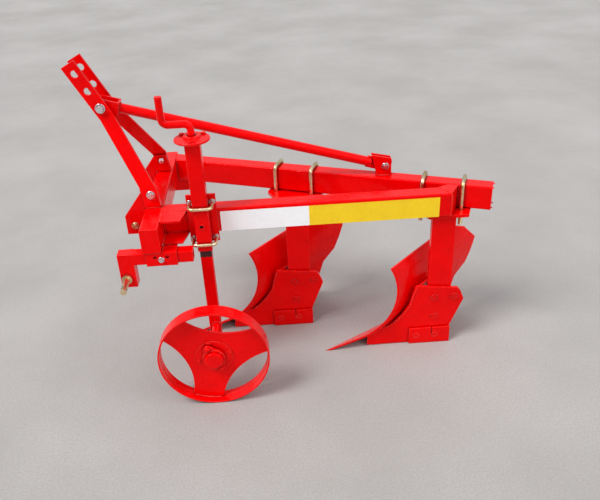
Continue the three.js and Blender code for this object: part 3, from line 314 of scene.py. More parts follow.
SMOOTH_BELOW = math.radians(38)
ROUND_ABOVE = math.radians(40)
FLAT_WITHIN = math.radians(0.6)
WELD_SIDES = 10


def shade(bm):
    for face in bm.faces:
        face.smooth = True
    for edge in bm.edges:
        edge.smooth = edge.calc_face_angle(math.pi) < SMOOTH_BELOW


def weigh_normals(piece):
    made = piece.modifiers.new("weighted_normals", "WEIGHTED_NORMAL")
    made.keep_sharp = True
    made.weight = 90


def add_piece(name, bm, body, material):
    bmesh.ops.recalc_face_normals(bm, faces=bm.faces)
    shade(bm)
    data = bpy.data.meshes.new(name)
    bm.to_mesh(data)
    bm.free()
    data.materials.append(material)
    piece = bpy.data.objects.new(name, data)
    bpy.context.scene.collection.objects.link(piece)
    weigh_normals(piece)
    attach(piece, body)
    return piece


def node_mesh(node):
    """The node's own mesh, with its flat faces whole again."""
    bm = bmesh.new()
    bm.from_mesh(NODES[node].data)
    bmesh.ops.remove_doubles(bm, verts=bm.verts, dist=2e-6)
    bmesh.ops.dissolve_limit(bm, angle_limit=FLAT_WITHIN, verts=bm.verts, edges=bm.edges)
    return bm


def finished(node, width, material, holes=()):
    """Stands for a CAD node: the same solid with its sharp edges rounded, and with holes drilled in it."""
    bm = node_mesh(node)
    sharp = [edge for edge in bm.edges if edge.calc_face_angle(0) > ROUND_ABOVE]
    bmesh.ops.bevel(
        bm, geom=sharp, offset=width * MM, offset_type="OFFSET", segments=2,
        profile=0.5, affect="EDGES", clamp_overlap=True,
    )
    piece = add_piece(node + "_finish", bm, BODY_OF[node], material)
    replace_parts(piece, node)
    for hole in holes:
        drill(piece, *hole)
    return piece


def drill(piece, place, axis, radius, depth):
    """Cuts a round hole in a piece's mesh, before the piece's own modifiers."""
    bm = bmesh.new()
    lathe(bm, [(0, -depth / 2), (radius, -depth / 2), (radius, depth / 2), (0, depth / 2)], place, axis, 28)
    bmesh.ops.recalc_face_normals(bm, faces=bm.faces)
    data = bpy.data.meshes.new("drill")
    bm.to_mesh(data)
    bm.free()
    tool = bpy.data.objects.new("drill", data)
    bpy.context.scene.collection.objects.link(tool)
    made = piece.modifiers.new("hole", "BOOLEAN")
    made.operation = "DIFFERENCE"
    made.object = tool
    made.solver = "EXACT"
    while piece.modifiers[0] != made:
        bpy.context.view_layer.objects.active = piece
        bpy.ops.object.modifier_move_up(modifier=made.name)
    kept = [m.name for m in piece.modifiers if m != made]
    for name in kept:
        piece.modifiers[name].show_viewport = False
    bpy.context.view_layer.update()
    result = bpy.data.meshes.new_from_object(piece.evaluated_get(bpy.context.evaluated_depsgraph_get()))
    piece.modifiers.remove(made)
    piece.data = result
    bm = bmesh.new()
    bm.from_mesh(result)
    shade(bm)
    bm.to_mesh(result)
    bm.free()
    for name in kept:
        piece.modifiers[name].show_viewport = True
    bpy.data.objects.remove(tool)


def square_to(axis):
    """Two directions at right angles to an axis."""
    other = Z_AXIS if abs(axis.z) < 0.9 else X_AXIS
    first = axis.cross(other).normalized()
    return first, axis.cross(first).normalized()


def skin(bm, rings, closed=False):
    """Joins rings of equal length into a surface, and closes its two ends unless it joins up."""
    loops = [[bm.verts.new(point) for point in ring] for ring in rings]
    count = len(loops[0])
    pairs = list(zip(loops, loops[1:]))
    if closed:
        pairs.append((loops[-1], loops[0]))
    for near, far in pairs:
        for k in range(count):
            bm.faces.new((near[k], near[(k + 1) % count], far[(k + 1) % count], far[k]))
    if not closed:
        bm.faces.new(loops[0][::-1])
        bm.faces.new(loops[-1])


def lathe(bm, profile, place, axis, sides=32):
    """Turns (radius, height) in mm about an axis. A profile that starts and ends off the axis is a ring."""
    first, second = square_to(axis)
    steps = [2 * math.pi * k / sides for k in range(sides)]
    solid = profile[0][0] == 0
    rings = [
        [place + MM * (height * axis + radius * (math.cos(a) * first + math.sin(a) * second)) for a in steps]
        for radius, height in (profile[1:-1] if solid else profile)
    ]
    skin(bm, rings, closed=not solid)


def hexagon(radius, angle):
    """Distance from the middle to a hexagon's side in a direction."""
    return radius * math.cos(math.pi / 6) / math.cos((angle % (math.pi / 3)) - math.pi / 6)


def hex_head(bm, place, axis, radius, height, turn=0.0, low=0.0):
    """A hexagonal head or nut, its far corners turned off by a cone."""
    first, second = square_to(axis)
    sides = 36
    circle = radius * 0.83
    rings = []
    for level, cap in ((low, 0.0), (height * 0.72, 0.0), (height * 0.93, 0.75), (height, 1.0)):
        ring = []
        for k in range(sides):
            angle = 2 * math.pi * k / sides
            reach = min(hexagon(radius, angle), radius + (circle - radius) * cap)
            spoke = math.cos(angle + turn) * first + math.sin(angle + turn) * second
            ring.append(place + MM * (level * axis + reach * spoke))
        rings.append(ring)
    skin(bm, rings)


def washer(bm, place, axis, inner, outer, thickness):
    """A flat ring, its outer edge turned off at the top."""
    turned = thickness * 0.3
    profile = [
        (inner, 0), (outer, 0), (outer, thickness - turned), (outer - turned, thickness), (inner, thickness),
    ]
    lathe(bm, profile, place, axis, 36)


def thread(bm, place, axis, radius, length):
    """A screw's end: a helix of crests, with a small cone."""
    first, second = square_to(axis)
    pitch, depth, cone = 1.8, 0.6, 1.6
    sides = 24
    angles = [2 * math.pi * k / sides for k in range(sides)]
    spokes = [math.cos(angle) * first + math.sin(angle) * second for angle in angles]
    rows = max(2, int(length / pitch * 4))
    rings = []
    for row in range(rows + 1):
        level = length * row / rows
        ring = []
        for k, spoke in enumerate(spokes):
            phase = (level / pitch + k / sides) % 1
            reach = radius - depth * abs(2 * phase - 1)
            ring.append(place + MM * (level * axis + reach * spoke))
        rings.append(ring)
    tip = [place + MM * ((length + 1) * axis + (radius - cone) * spoke) for spoke in spokes]
    skin(bm, rings + [tip])


def weld(bm, points, radius, squash=0.75):
    """A welded bead along a line: overlapping ripples, a little uneven."""
    path = [Vector(p) for p in points]
    lengths = [(b - a).length for a, b in zip(path, path[1:])]
    total = sum(lengths)
    step = radius * MM * 0.22
    count = max(8, int(total / step))
    rings = []
    sway = wobble.uniform(0, 6)
    for n in range(count + 1):
        along = total * n / count
        rest = along
        leg = 0
        while leg < len(lengths) - 1 and rest > lengths[leg]:
            rest -= lengths[leg]
            leg += 1
        point = path[leg].lerp(path[leg + 1], min(rest / lengths[leg], 1.0))
        heading = (path[leg + 1] - path[leg]).normalized()
        first, second = square_to(heading)
        ends = min(1.0, math.sqrt(max(min(along, total - along), 0.0) / (radius * MM)) + 0.25)
        ripple = 0.13 * math.sin(along / (radius * MM * 0.75) * 2 * math.pi)
        drift = 0.06 * math.sin(along * 130 + sway)
        reach = radius * (1 + ripple + drift) * ends
        lean = 0.35 * radius * MM
        ring = []
        for k in range(WELD_SIDES):
            angle = 2 * math.pi * k / WELD_SIDES
            spoke = math.cos(angle) * first + squash * math.sin(angle) * second
            ring.append(point + MM * reach * spoke - heading * lean * abs(math.sin(angle)) * 0.5)
        rings.append(ring)
    skin(bm, rings)


def stitches(bm, points, radius, pitch):
    """A row of short beads with gaps, as a welder tacks along an edge."""
    for near, far in zip(points, points[1:]):
        count = max(1, round((far - near).length / pitch))
        for n in range(count):
            start, stop = near.lerp(far, (n + 0.12) / count), near.lerp(far, (n + 0.8) / count)
            weld(bm, [start, stop], radius * wobble.uniform(0.8, 1.1), 0.8)


# ---- Places, in mm from the cross member's rear face, the mast's centre line and the floor ----

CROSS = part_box("cross_member")
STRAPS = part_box("mast_strap_left"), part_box("mast_strap_right")
ORIGIN = Vector((CROSS[0].x, (STRAPS[0][1].y + STRAPS[1][0].y) / 2, 0))
FRAME_TOP = CROSS[1].z / MM
FRAME_LOW = CROSS[0].z / MM


def at(x, y, z):
    return ORIGIN + MM * Vector((x, y, z))


def limits(node):
    """A node's box in mm from the same origin."""
    low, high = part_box(node)
    return (low - ORIGIN) / MM, (high - ORIGIN) / MM


BARE_LEG = 27
SLIDE_PAINT_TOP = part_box("leg_tube")[0].z - BARE_LEG * MM

add_camera()
PAINT = red_paint()
ZINC = bright_zinc()
GOLD = yellow_zinc()
FINISH = {"red_paint": PAINT, "bright_zinc": ZINC, "yellow_zinc": GOLD}

# ---- CAD solids with rounded edges ----

ROUNDING = {
    "cross_member": 0.8, "main_beam": 0.8, "side_beam": 0.8,
    "corner_gusset_top": 1.2, "corner_gusset_bottom": 1.2,
    "mast_strap_left": 1.4, "mast_strap_right": 1.4,
    "headstock_plate_left": 1.2, "headstock_plate_right": 1.2,
    "mast_brace": 1.2, "brace_lug": 1.2,
    "hitch_sleeve_left": 1.0, "hitch_sleeve_right": 1.0, "hitch_arm_left": 1.4, "hitch_arm_right": 1.4,
    "hitch_pin_left": 0.8, "hitch_pin_right": 0.8,
    "leg_tube": 0.8, "leg_clamp_plate": 1.2, "slide_tube": 0.6,
    "leg_clamp_rod_upper": 0.6, "leg_clamp_rod_lower": 0.6, "depth_crank": 1.5,
    "wheel_axle": 0.8, "wheel_rim": 1.6, "wheel_disc": 1.2,
}
for end in ("front", "rear"):
    ROUNDING.update({
        end + "_standard": 1.4, end + "_frog": 0.8, end + "_landside": 1.2, end + "_moldboard": 1.2,
        end + "_share": 0.8, end + "_moldboard_stay": 0.4, end + "_beam_rod_1": 0.7, end + "_beam_rod_2": 0.7,
    })


LEG_SCREW_SIDE = 27
LEG_SCREW_DROP = 36
SLEEVE_HOLES_X = (24, -17)
SLEEVE_HOLES_Z = 530


def leg_screw():
    """The middle of the screw's hole, on the leg tube's outer face."""
    low, high = limits("leg_tube")
    return at(low.x + LEG_SCREW_SIDE, high.y, FRAME_TOP - LEG_SCREW_DROP)


def finish_nodes():
    sleeve = limits("hitch_sleeve_left")
    drilled = {
        "hitch_sleeve_left": [(at(x, sleeve[1].y, SLEEVE_HOLES_Z), Y_AXIS, 6.5, 16) for x in SLEEVE_HOLES_X],
        "leg_tube": [(leg_screw(), Y_AXIS, 6.6, 16)],
    }
    for node, width in ROUNDING.items():
        material = slide_paint() if node == "slide_tube" else FINISH[SLOT_OF[node]]
        finished(node, width, material, drilled.get(node, ()))


finish_nodes()

# ---- Details: screws, nuts, welded beads and panels ----

BEAM_ANGLE = math.radians(21.2)
BEAM_ROD_SPREAD = 40.5
ROD_TAIL = 48
LANDSIDE_TO_STANDARD = 46
CLAMP_ROD_SPREAD = 38
FROG_BOLTS = ((21, 207), (-53, 208), (18, 122))
LANDSIDE_BOLTS = ((84, 38), (12, 39))
FROG_EDGE = ((88, 252), (100, 219), (111, 173), (138, 132), (174, 96), (200, 82))
RING_HEAD = (
    (0, -1), (14, -1), (14, 3), (12.8, 4.4), (11.4, 4.6),
    (10.4, 2.4), (8.8, 1.6), (8, 3.4), (5, 4.8), (0, 5.2),
)
FLUSH_HEAD = (
    (0, -1), (12.5, -1), (12.5, 0.8), (11.4, 1.5), (10.4, 1.4),
    (9.6, 0.3), (8.4, 0.3), (7.8, 1.3), (0, 1.6),
)
TUBE_WIDTH = 62
MITRE_AT = 997
MAIN_BEAM_END = (-1005.3, -1035.3)
CROSS_FRONT = 63.6
STRAP_FOOT_EDGE = 168.2
PLATE_FACES = (157.6, 145.8)
CROSS_PLUGS = ((16, 268), (20, -29), (8.5, -163))
FOOT_BOLT_X = 35
FOOT_BOLT_RISE = 48
PLATE_BOLT_X, PLATE_BOLT_Z = 107, 567
SLEEVE_SCREW_X, SLEEVE_SCREW_Z = 4, 520
EYE_TO_WELD = 56.8
LUG_TO_WELD = 55.5
BEARING_BOLT_CIRCLE = 46
HUB_BORE = 15.6
HUB_SEAT_R = 64
HUB_FLANGE_BORE = 30
HUB_FLANGE_R = 38
HUB_FLANGE_LIFT = 10
HUB_FLANGE_THICK = 8
HUB_LOBE_REACH = 59
HUB_LOBE_TURN = math.radians(66)
HUB_LOBE_SPREAD = math.radians(23)
HUB_BOLT_CIRCLE = 46
SEAT_BOLT_CIRCLE = 56
SEAT_BOLT_TURN = math.radians(75)
HUB_NUT = ((0, -1), (9, -1), (9, 4), (7.8, 6), (5.6, 6.6), (5, 7.6), (3.4, 8.8), (0, 9.2))
PLUG_WELD = ((0, -1), (6, -1), (5, 0.7), (2.6, 1.3), (0, 1.4))
WHEEL_ARMS = (42, 162, 282)
ARM_WELD_HALF = 15
ARM_WELD_STEPS = 12
PANEL_LOW = 551
PANEL_TOP = 626
PANEL_CORNER = 2.0
PANEL_FRONT = -196
PANEL_SPLIT = -501
PANEL_REAR = -956


def details(name, body, material, make):
    bm = bmesh.new()
    make(bm)
    return add_piece(name, bm, body, material)


def screw(bm, place, axis, radius, height, turn=0.3):
    """A washer with a hexagonal head on it."""
    washer(bm, place, axis, radius * 0.6, radius * 1.22, 2.2)
    hex_head(bm, place, axis, radius, height + 2.2, turn, 2.0)
    lathe(bm, [(0, 0), (radius * 0.62, 0), (radius * 0.62, 2.4), (0, 2.4)], place, axis, 24)


def nut(bm, place, axis, radius, height, bolt, proud, turn=0.1):
    """A nut with the screw's end through it."""
    hex_head(bm, place, axis, radius, height, turn)
    thread(bm, place + MM * (height - 1) * axis, axis, bolt, proud)


def ring_points(centre, axis, radius):
    """A circle's points, the last on the first."""
    first, second = square_to(axis)
    angles = [math.radians(10 * n) for n in range(37)]
    return [centre + MM * radius * (math.cos(a) * first + math.sin(a) * second) for a in angles]


def bottom_details(end):
    low, high = limits(end + "_landside")
    middle = low.x + LANDSIDE_TO_STANDARD
    face = limits(end + "_frog")[1].y
    weld_z = limits(end + "_standard")[1].z - 13
    bar_back = high.y - 40.6

    def heads(bm):
        for x, z in FROG_BOLTS:
            lathe(bm, RING_HEAD, at(middle + x, face, z), Y_AXIS, 36)
        for x, z in LANDSIDE_BOLTS:
            lathe(bm, FLUSH_HEAD, at(middle + x, high.y, z), Y_AXIS, 30)
        for (x, z), back in zip(FROG_BOLTS, (bar_back, high.y - 18.6, bar_back)):
            nut(bm, at(middle + x, back, z), -Y_AXIS, 11, 8, 6, 5, 0.2 + x)

    def beads(bm):
        stitches(bm, [at(middle + x, face + 0.8, z) for x, z in FROG_EDGE], 3.0, 0.014)
        for side in (high.y - 18.2, bar_back - 0.4):
            weld(bm, [at(middle + edge, side, weld_z) for edge in (-41, 41)], 3.4)
        for edge in (-43.4, 43.4):
            weld(bm, [at(middle + edge, high.y - inward, weld_z) for inward in (20, 39)], 3.0)

    details(end + "_bolt_heads", "frame", PAINT, heads)
    details(end + "_weld_beads", "frame", PAINT, beads)

    def threads(bm):
        for n in (1, 2):
            rod = limits(f"{end}_beam_rod_{n}")
            for side in (-BEAM_ROD_SPREAD, BEAM_ROD_SPREAD):
                x = (rod[0].x + rod[1].x) / 2 + side * math.sin(BEAM_ANGLE)
                y = (rod[0].y + rod[1].y) / 2 + side * math.cos(BEAM_ANGLE)
                thread(bm, at(x, y, rod[0].z + ROD_TAIL - 11), -Z_AXIS, 7.6, ROD_TAIL - 12.4)
                washer(bm, at(x, y, rod[0].z + ROD_TAIL), -Z_AXIS, 7.4, 16.5, 2.6)

    details(end + "_rod_threads", "frame", GOLD, threads)


def through_bolt(node, head_radius, head_height, bolt):
    """The same bolt as the CAD one, with a turned head, a nut and a thread."""
    low, high = limits(node)
    x, z = (low.x + high.x) / 2, (low.z + high.z) / 2
    near = high.y - head_height
    far = -near
    across = head_radius * 0.82
    proud = far - low.y - head_height - 0.2

    def make(bm):
        lathe(bm, [(0, 0), (bolt, 0), (bolt, near - far), (0, near - far)], at(x, far, z), Y_AXIS, 32)
        washer(bm, at(x, near, z), Y_AXIS, bolt, head_radius, 1.6)
        hex_head(bm, at(x, near, z), Y_AXIS, across, head_height, 0.4, 1.4)
        washer(bm, at(x, far, z), -Y_AXIS, bolt, head_radius, 1.6)
        nut(bm, at(x, far, z), -Y_AXIS, across, head_height, bolt, proud)

    piece = details(node + "_turned", BODY_OF[node], FINISH[SLOT_OF[node]], make)
    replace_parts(piece, node)


def mast_details():
    strap = limits("mast_strap_left")[1].y
    plate = limits("headstock_plate_left")
    foot_z = FRAME_TOP + FOOT_BOLT_RISE

    def silver(bm):
        sleeve = limits("hitch_sleeve_left")
        for side in (1, -1):
            axis = side * Y_AXIS
            screw(bm, at(FOOT_BOLT_X, side * strap, foot_z), axis, 12.5, 8, 0.3 * side)
            nut(bm, at(FOOT_BOLT_X, side * plate[0].y, foot_z), -axis, 12.5, 10, 8, 6)
            screw(bm, at(SLEEVE_SCREW_X, side * sleeve[1].y, SLEEVE_SCREW_Z), axis, 8.5, 5.5, 0.1)

    def gold(bm):
        for side in (1, -1):
            axis = side * Y_AXIS
            screw(bm, at(PLATE_BOLT_X, side * plate[1].y, PLATE_BOLT_Z), axis, 11, 7, 0.2)
            nut(bm, at(PLATE_BOLT_X, side * plate[0].y, PLATE_BOLT_Z), -axis, 11, 9, 7, 8)

    details("foot_screws", "frame", ZINC, silver)
    details("headstock_screws", "frame", GOLD, gold)
    through_bolt("mast_bolt", 17, 12, 10)
    through_bolt("brace_lug_bolt", 14, 10, 8)


def frame_beads(bm):
    side = limits("side_beam")
    main = limits("main_beam")
    gusset = limits("corner_gusset_top")
    sleeve = limits("hitch_sleeve_left")
    cross = limits("cross_member")
    clamp = limits("leg_clamp_plate")
    top, low = FRAME_TOP, FRAME_LOW
    tan = math.tan(BEAM_ANGLE)
    beam_left = main[0].y + TUBE_WIDTH / math.cos(BEAM_ANGLE)

    def line(radius, *points):
        weld(bm, [at(*p) for p in points], radius)

    # side beam and main beam against the cross member's rear face
    line(3.2, (-1.5, side[1].y - 60, top - 1), (-1.5, side[1].y - 4, top - 1))
    line(3.2, (-1.5, side[1].y - 62, top - 6), (-1.5, side[1].y - 62, low + 6))
    line(3.2, (-1.5, side[1].y + 0.5, top - 11), (-1.5, side[1].y + 0.5, low + 11))
    line(3.4, (-1.5, main[0].y + 4, top - 1), (-1.5, beam_left - 3, top - 1))
    line(3.2, (-1.5, beam_left + 0.5, top - 6), (-1.5, beam_left + 0.5, low + 6))
    # gussets in the corner
    for z in (top - 1.5, low + 9):
        line(2.8, (-0.8, side[1].y + 4, z), (-0.8, gusset[1].y - 2, z))
        line(2.8, (-4, side[1].y - 0.4, z), (gusset[0].x + 2, side[1].y - 0.4, z))
    # the side beam's closing piece against the main beam, and its mitre
    mitre = side[1].x - MITRE_AT
    line(3.0, (mitre, side[1].y + 0.3, top - 5), (mitre, side[1].y + 0.3, low + 5))
    line(2.6, (mitre, side[1].y - 5, top), (mitre + 31, side[1].y - 60, top))
    ends = [(x, main[1].y - (x - main[0].x) * tan) for x in MAIN_BEAM_END]
    line(2.8, (*ends[0], top - 0.5), (*ends[1], top - 0.5))
    line(2.8, (ends[1][0], ends[1][1] + 0.4, top - 4), (ends[1][0], ends[1][1] + 0.4, low + 4))
    # clamp plate on the side beam
    for x in (clamp[0].x - 0.4, clamp[1].x + 0.4):
        line(3.0, (x, side[1].y + 1.2, top - 6), (x, side[1].y + 1.2, low + 6))
    # straps, plates and sleeves on the cross member, both sides
    for mirror in (1, -1):
        line(3.0, *((x, mirror * STRAP_FOOT_EDGE, top + 1.2) for x in (8, 58)))
        for y in PLATE_FACES:
            line(2.8, (CROSS_FRONT, mirror * y, top - 6), (CROSS_FRONT, mirror * y, low + 4))
        for y in (sleeve[0].y - 0.6, sleeve[1].y + 0.6):
            line(3.0, (4, mirror * y, low - 1.6), (54, mirror * y, low - 1.6))
        line(3.0, *((-1.2, mirror * y, low - 0.6) for y in (sleeve[0].y + 3, sleeve[1].y - 3)))
    # foot of the brace's lug
    lug = limits("brace_lug")
    for y in (lug[0].y - 1, lug[1].y + 1):
        line(3.2, (lug[0].x, y, top + 1.2), (lug[0].x + 52, y, top + 1.2))
    for x in (lug[0].x - 1, lug[0].x + 54):
        line(3.0, (x, lug[0].y, top + 1.2), (x, lug[1].y, top + 1.2))
    # blobs at the main beam's end, and plug welds on the cross member
    end_x, end_y = main[0].x, main[1].y
    for share, z in ((0.1, top - 2), (0.75, top - 3), (0.3, low + 3), (0.9, low + 4)):
        spot = at(end_x + 22 * (1 - share), end_y - 58 * share, z)
        lathe(bm, PLUG_WELD, spot, (Z_AXIS if z > top - 40 else -Z_AXIS), 14)
    for x, y in CROSS_PLUGS:
        lathe(bm, PLUG_WELD, at(x, y, cross[1].z), Z_AXIS, 18)


def brace_beads(bm):
    """Where the brace's round tube meets its eye at the mast, and its flat end at the lug."""
    start, finish = ((low + high) / 2 for low, high in (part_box("mast_bolt"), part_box("brace_lug_bolt")))
    start.y = finish.y = ORIGIN.y
    along = (finish - start).normalized()
    weld(bm, ring_points(start + EYE_TO_WELD * MM * along, along, 18.2), 2.8)
    up = along.cross(Y_AXIS)
    stop = finish - LUG_TO_WELD * MM * along
    for y in (-6.8, 6.8):
        weld(bm, [stop + MM * (y * Y_AXIS + 14 * up), stop + MM * (y * Y_AXIS - 14 * up)], 2.6)


def leg_details():
    tube = limits("leg_tube")
    x, y = (tube[0].x + tube[1].x) / 2, (tube[0].y + tube[1].y) / 2
    top = tube[1].z

    def bearing(bm):
        profile = [
            (12.6, 0.3), (56.5, 0.3), (58, 1.6), (58, 6.6), (56.4, 8.2), (33, 8.3), (30, 9.2), (28.6, 11.5),
            (27.6, 15.6), (25.6, 17.2), (16.5, 17.2), (14.2, 15.8), (12.6, 13.4),
        ]
        lathe(bm, profile, at(x, y, top), Z_AXIS, 72)
        for angle in (-41, -139, 90):
            across = BEARING_BOLT_CIRCLE * math.cos(math.radians(angle))
            along = BEARING_BOLT_CIRCLE * math.sin(math.radians(angle))
            hex_head(bm, at(x + across, y + along, top + 8.2), Z_AXIS, 8.5, 6.5, angle)
        for side in range(4):
            turn = Matrix.Rotation(side * math.pi / 2, 3, "Z")
            ends = [at(x, y, top - 0.8) + MM * (turn @ Vector((26, s, 0))) for s in (-21, 21)]
            weld(bm, ends, 2.8)

    piece = details("leg_bearing_turned", "frame", PAINT, bearing)
    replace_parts(piece, "leg_bearing")

    def ring(bm):
        profile = [(6.7, -0.5), (11.6, -0.5), (11.6, 1.8), (10.4, 3.4), (8, 3.4), (6.7, 2.4)]
        lathe(bm, profile, leg_screw(), Y_AXIS, 36)

    details("leg_screw_ring", "frame", PAINT, ring)

    def rod_nuts(bm):
        face = limits("leg_clamp_plate")[1].y
        for end in ("upper", "lower"):
            low, high = limits("leg_clamp_rod_" + end)
            for side in (-CLAMP_ROD_SPREAD, CLAMP_ROD_SPREAD):
                spot = at(x + side, face, (low.z + high.z) / 2)
                washer(bm, spot, Y_AXIS, 6, 10.5, 1.6)
                hex_head(bm, spot, Y_AXIS, 9, 7.5, 0.2, 1.5)

    details("clamp_rod_nuts", "frame", ZINC, rod_nuts)

    def axle_bead(bm):
        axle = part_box("wheel_axle")
        slide = limits("slide_tube")
        spot = (axle[0] + axle[1]) / 2
        spot.y = at(0, slide[1].y + 0.5, 0).y
        weld(bm, ring_points(spot, Y_AXIS, 16.4), 2.8)

    details("axle_bead", "leg", PAINT, axle_bead)


def flange_ring(centre, level, inset=None):
    """A ring in the wheel's plane: a round body with a lobe at each bolt, or with no inset the bore."""
    ring = []
    for k in range(72):
        angle = 2 * math.pi * k / 72
        away = (angle - HUB_LOBE_TURN + math.pi / 2) % math.pi - math.pi / 2
        swell = math.exp(-((away / HUB_LOBE_SPREAD) ** 2))
        reach = HUB_FLANGE_BORE
        if inset is not None:
            reach = HUB_FLANGE_R + (HUB_LOBE_REACH - HUB_FLANGE_R) * swell - inset
        spoke = math.cos(angle) * X_AXIS + math.sin(angle) * Z_AXIS
        ring.append(centre + MM * (level * Y_AXIS + reach * spoke))
    return ring


def wheel_hub(bm):
    """The hub with its seat on the disc, its two-bolt flange and its domed cap."""
    box = limits("wheel_hub")
    x, z = (box[0].x + box[1].x) / 2, (box[0].z + box[1].z) / 2
    disc = limits("wheel_disc")[1].y
    length = box[1].y - box[0].y
    flange_back = disc + HUB_FLANGE_LIFT
    flange_front = flange_back + HUB_FLANGE_THICK

    def on_circle(radius, turn, y):
        return at(x + radius * math.cos(turn), y, z + radius * math.sin(turn))

    seat, neck = disc + 0.3 - box[0].y, flange_back + 4 - box[0].y
    barrel = [
        (HUB_BORE, 0), (34.8, 0), (36, 1.2), (36, seat), (HUB_SEAT_R, seat), (HUB_SEAT_R, seat + 2.2),
        (HUB_SEAT_R - 0.8, seat + 3), (40, seat + 3), (33, seat + 5), (31, neck),
        (31, length - 10), (HUB_BORE, length - 10),
    ]
    lathe(bm, barrel, at(x, box[0].y, z), Y_AXIS, 64)

    centre = at(x, flange_back, z)
    levels = ((0, 2), (1.4, 0), (6.2, 0), (HUB_FLANGE_THICK, 1.6))
    rings = [flange_ring(centre, level, inset) for level, inset in levels]
    bore = [flange_ring(centre, level) for level in (HUB_FLANGE_THICK, 0)]
    skin(bm, rings + bore, closed=True)

    top = box[1].y - flange_front
    cap = [
        (0, top - 10), (HUB_BORE, top - 10), (HUB_BORE, -1), (38, -1), (38, 1.6), (36.6, 3), (34.4, 3),
        (33.4, 1.8), (33, 2.2), (33, top - 7), (32.2, top - 3.6), (29.6, top - 1.2), (26, top - 0.2),
        (22, top), (0, top),
    ]
    lathe(bm, cap, at(x, flange_front, z), Y_AXIS, 64)

    for turn in (HUB_LOBE_TURN, HUB_LOBE_TURN + math.pi):
        spot = on_circle(HUB_BOLT_CIRCLE, turn, flange_front - 0.6)
        lathe(bm, HUB_NUT, spot, Y_AXIS, 28)
        lathe(bm, [(0, 0), (5, 0), (5, 16), (0, 16)], spot - 16 * MM * Y_AXIS, Y_AXIS, 20)
    for quarter in range(4):
        turn = SEAT_BOLT_TURN + quarter * math.pi / 2
        hex_head(bm, on_circle(SEAT_BOLT_CIRCLE, turn, disc + 2.8), Y_AXIS, 7.6, 5.2, turn)


def wheel_beads(bm):
    """Beads where each arm of the disc meets the rim, on both sides, and one behind the hub."""
    rim = limits("wheel_rim")
    disc = limits("wheel_disc")
    x, z = (rim[0].x + rim[1].x) / 2, (rim[0].z + rim[1].z) / 2
    radius = (rim[1].x - rim[0].x) / 2 - 7.2
    for arm in WHEEL_ARMS:
        for y in (disc[1].y + 0.8, disc[0].y - 0.8):
            points = []
            for n in range(ARM_WELD_STEPS + 1):
                angle = math.radians(arm - ARM_WELD_HALF + 2 * ARM_WELD_HALF * n / ARM_WELD_STEPS)
                points.append(at(x + radius * math.cos(angle), y, z + radius * math.sin(angle)))
            weld(bm, points, 4.2)
    weld(bm, ring_points(at(x, disc[0].y - 1, z), Y_AXIS, 37.2), 3.2)


def panel(name, low, high, light, dull):
    """A blank panel on the side beam's outer face, between two distances behind the cross member."""
    y = limits("side_beam")[1].y
    left, right = low + PANEL_CORNER, high - PANEL_CORNER
    under, over = PANEL_LOW + PANEL_CORNER, PANEL_TOP - PANEL_CORNER
    outline = []
    for cx, cz, start in ((right, over, 0), (left, over, 90), (left, under, 180), (right, under, 270)):
        for n in range(5):
            angle = math.radians(start + 90 * n / 4)
            outline.append((cx + PANEL_CORNER * math.cos(angle), cz + PANEL_CORNER * math.sin(angle)))
    bm = bmesh.new()
    skin(bm, [[at(px, y + depth, pz) for px, pz in outline] for depth in (0.02, 0.5)])
    add_piece(name, bm, "frame", sheet_vinyl(name, light, dull))


for end in ("front", "rear"):
    bottom_details(end)
mast_details()
leg_details()
details("frame_weld_beads", "frame", PAINT, frame_beads)
details("brace_weld_beads", "frame", PAINT, brace_beads)
details("wheel_weld_beads", "wheel", PAINT, wheel_beads)
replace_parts(details("wheel_hub_turned", "wheel", PAINT, wheel_hub), "wheel_hub")
panel("panel_white", PANEL_SPLIT, PANEL_FRONT, WHITE_VINYL, WHITE_DULL)
panel("panel_yellow", PANEL_REAR, PANEL_SPLIT, YELLOW_VINYL, YELLOW_DULL)

# ---- Floor and light ----

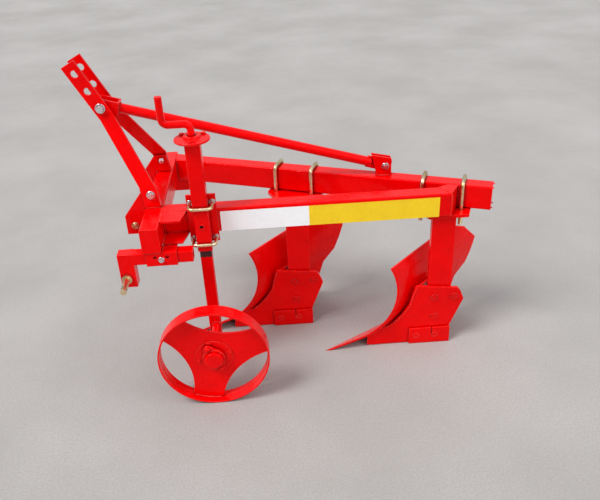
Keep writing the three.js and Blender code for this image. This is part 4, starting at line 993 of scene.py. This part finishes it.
FLOOR_REACH = 30.0
KEY_TOWARDS = (0.50, 0.29, 0.80)
KEY_WIDTH = 22
KEY_STRENGTH = 2.3
FILL_TOWARDS = (-0.70, 0.50, 0.50)
FILL_WIDTH = 60
FILL_STRENGTH = 1.0
SKY_STRENGTH = 0.85


def add_floor():
    corners = [(FLOOR_REACH * x, FLOOR_REACH * y, 0) for x, y in ((-1, -1), (1, -1), (1, 1), (-1, 1))]
    data = bpy.data.meshes.new("floor")
    data.from_pydata(corners, [], [(0, 1, 2, 3)])
    data.materials.append(pale_floor())
    floor = bpy.data.objects.new("floor", data)
    bpy.context.scene.collection.objects.link(floor)


def add_sun(name, towards, width, strength):
    """A soft light from far away, so that it falls evenly over the whole floor. Its width is in degrees."""
    data = bpy.data.lights.new(name, "SUN")
    data.angle = math.radians(width)
    data.energy = strength
    light = bpy.data.objects.new(name, data)
    light.rotation_euler = Vector(towards).to_track_quat("Z", "Y").to_euler()
    bpy.context.scene.collection.objects.link(light)


def add_world():
    """A pale sky, darker at the horizon."""
    world = bpy.data.worlds.new("soft_sky")
    world.use_nodes = True
    tree = world.node_tree
    split = tree.nodes.new("ShaderNodeSeparateXYZ")
    tree.links.new(tree.nodes.new("ShaderNodeTexCoord").outputs["Generated"], split.inputs[0])
    rise = tree.nodes.new("ShaderNodeMapRange")
    rise.inputs["From Min"].default_value = 0.0
    rise.inputs["From Max"].default_value = 0.75
    tree.links.new(split.outputs["Z"], rise.inputs["Value"])
    sky = tree.nodes.new("ShaderNodeMix")
    sky.data_type = "RGBA"
    tree.links.new(rise.outputs["Result"], sky.inputs[0])
    sky.inputs[6].default_value = HORIZON
    sky.inputs[7].default_value = SKY
    tree.links.new(sky.outputs[2], tree.nodes["Background"].inputs[0])
    tree.nodes["Background"].inputs[1].default_value = SKY_STRENGTH
    bpy.context.scene.world = world
    bpy.context.scene.view_settings.view_transform = "Standard"


add_floor()
add_world()
add_sun("key", KEY_TOWARDS, KEY_WIDTH, KEY_STRENGTH)
add_sun("fill", FILL_TOWARDS, FILL_WIDTH, FILL_STRENGTH)
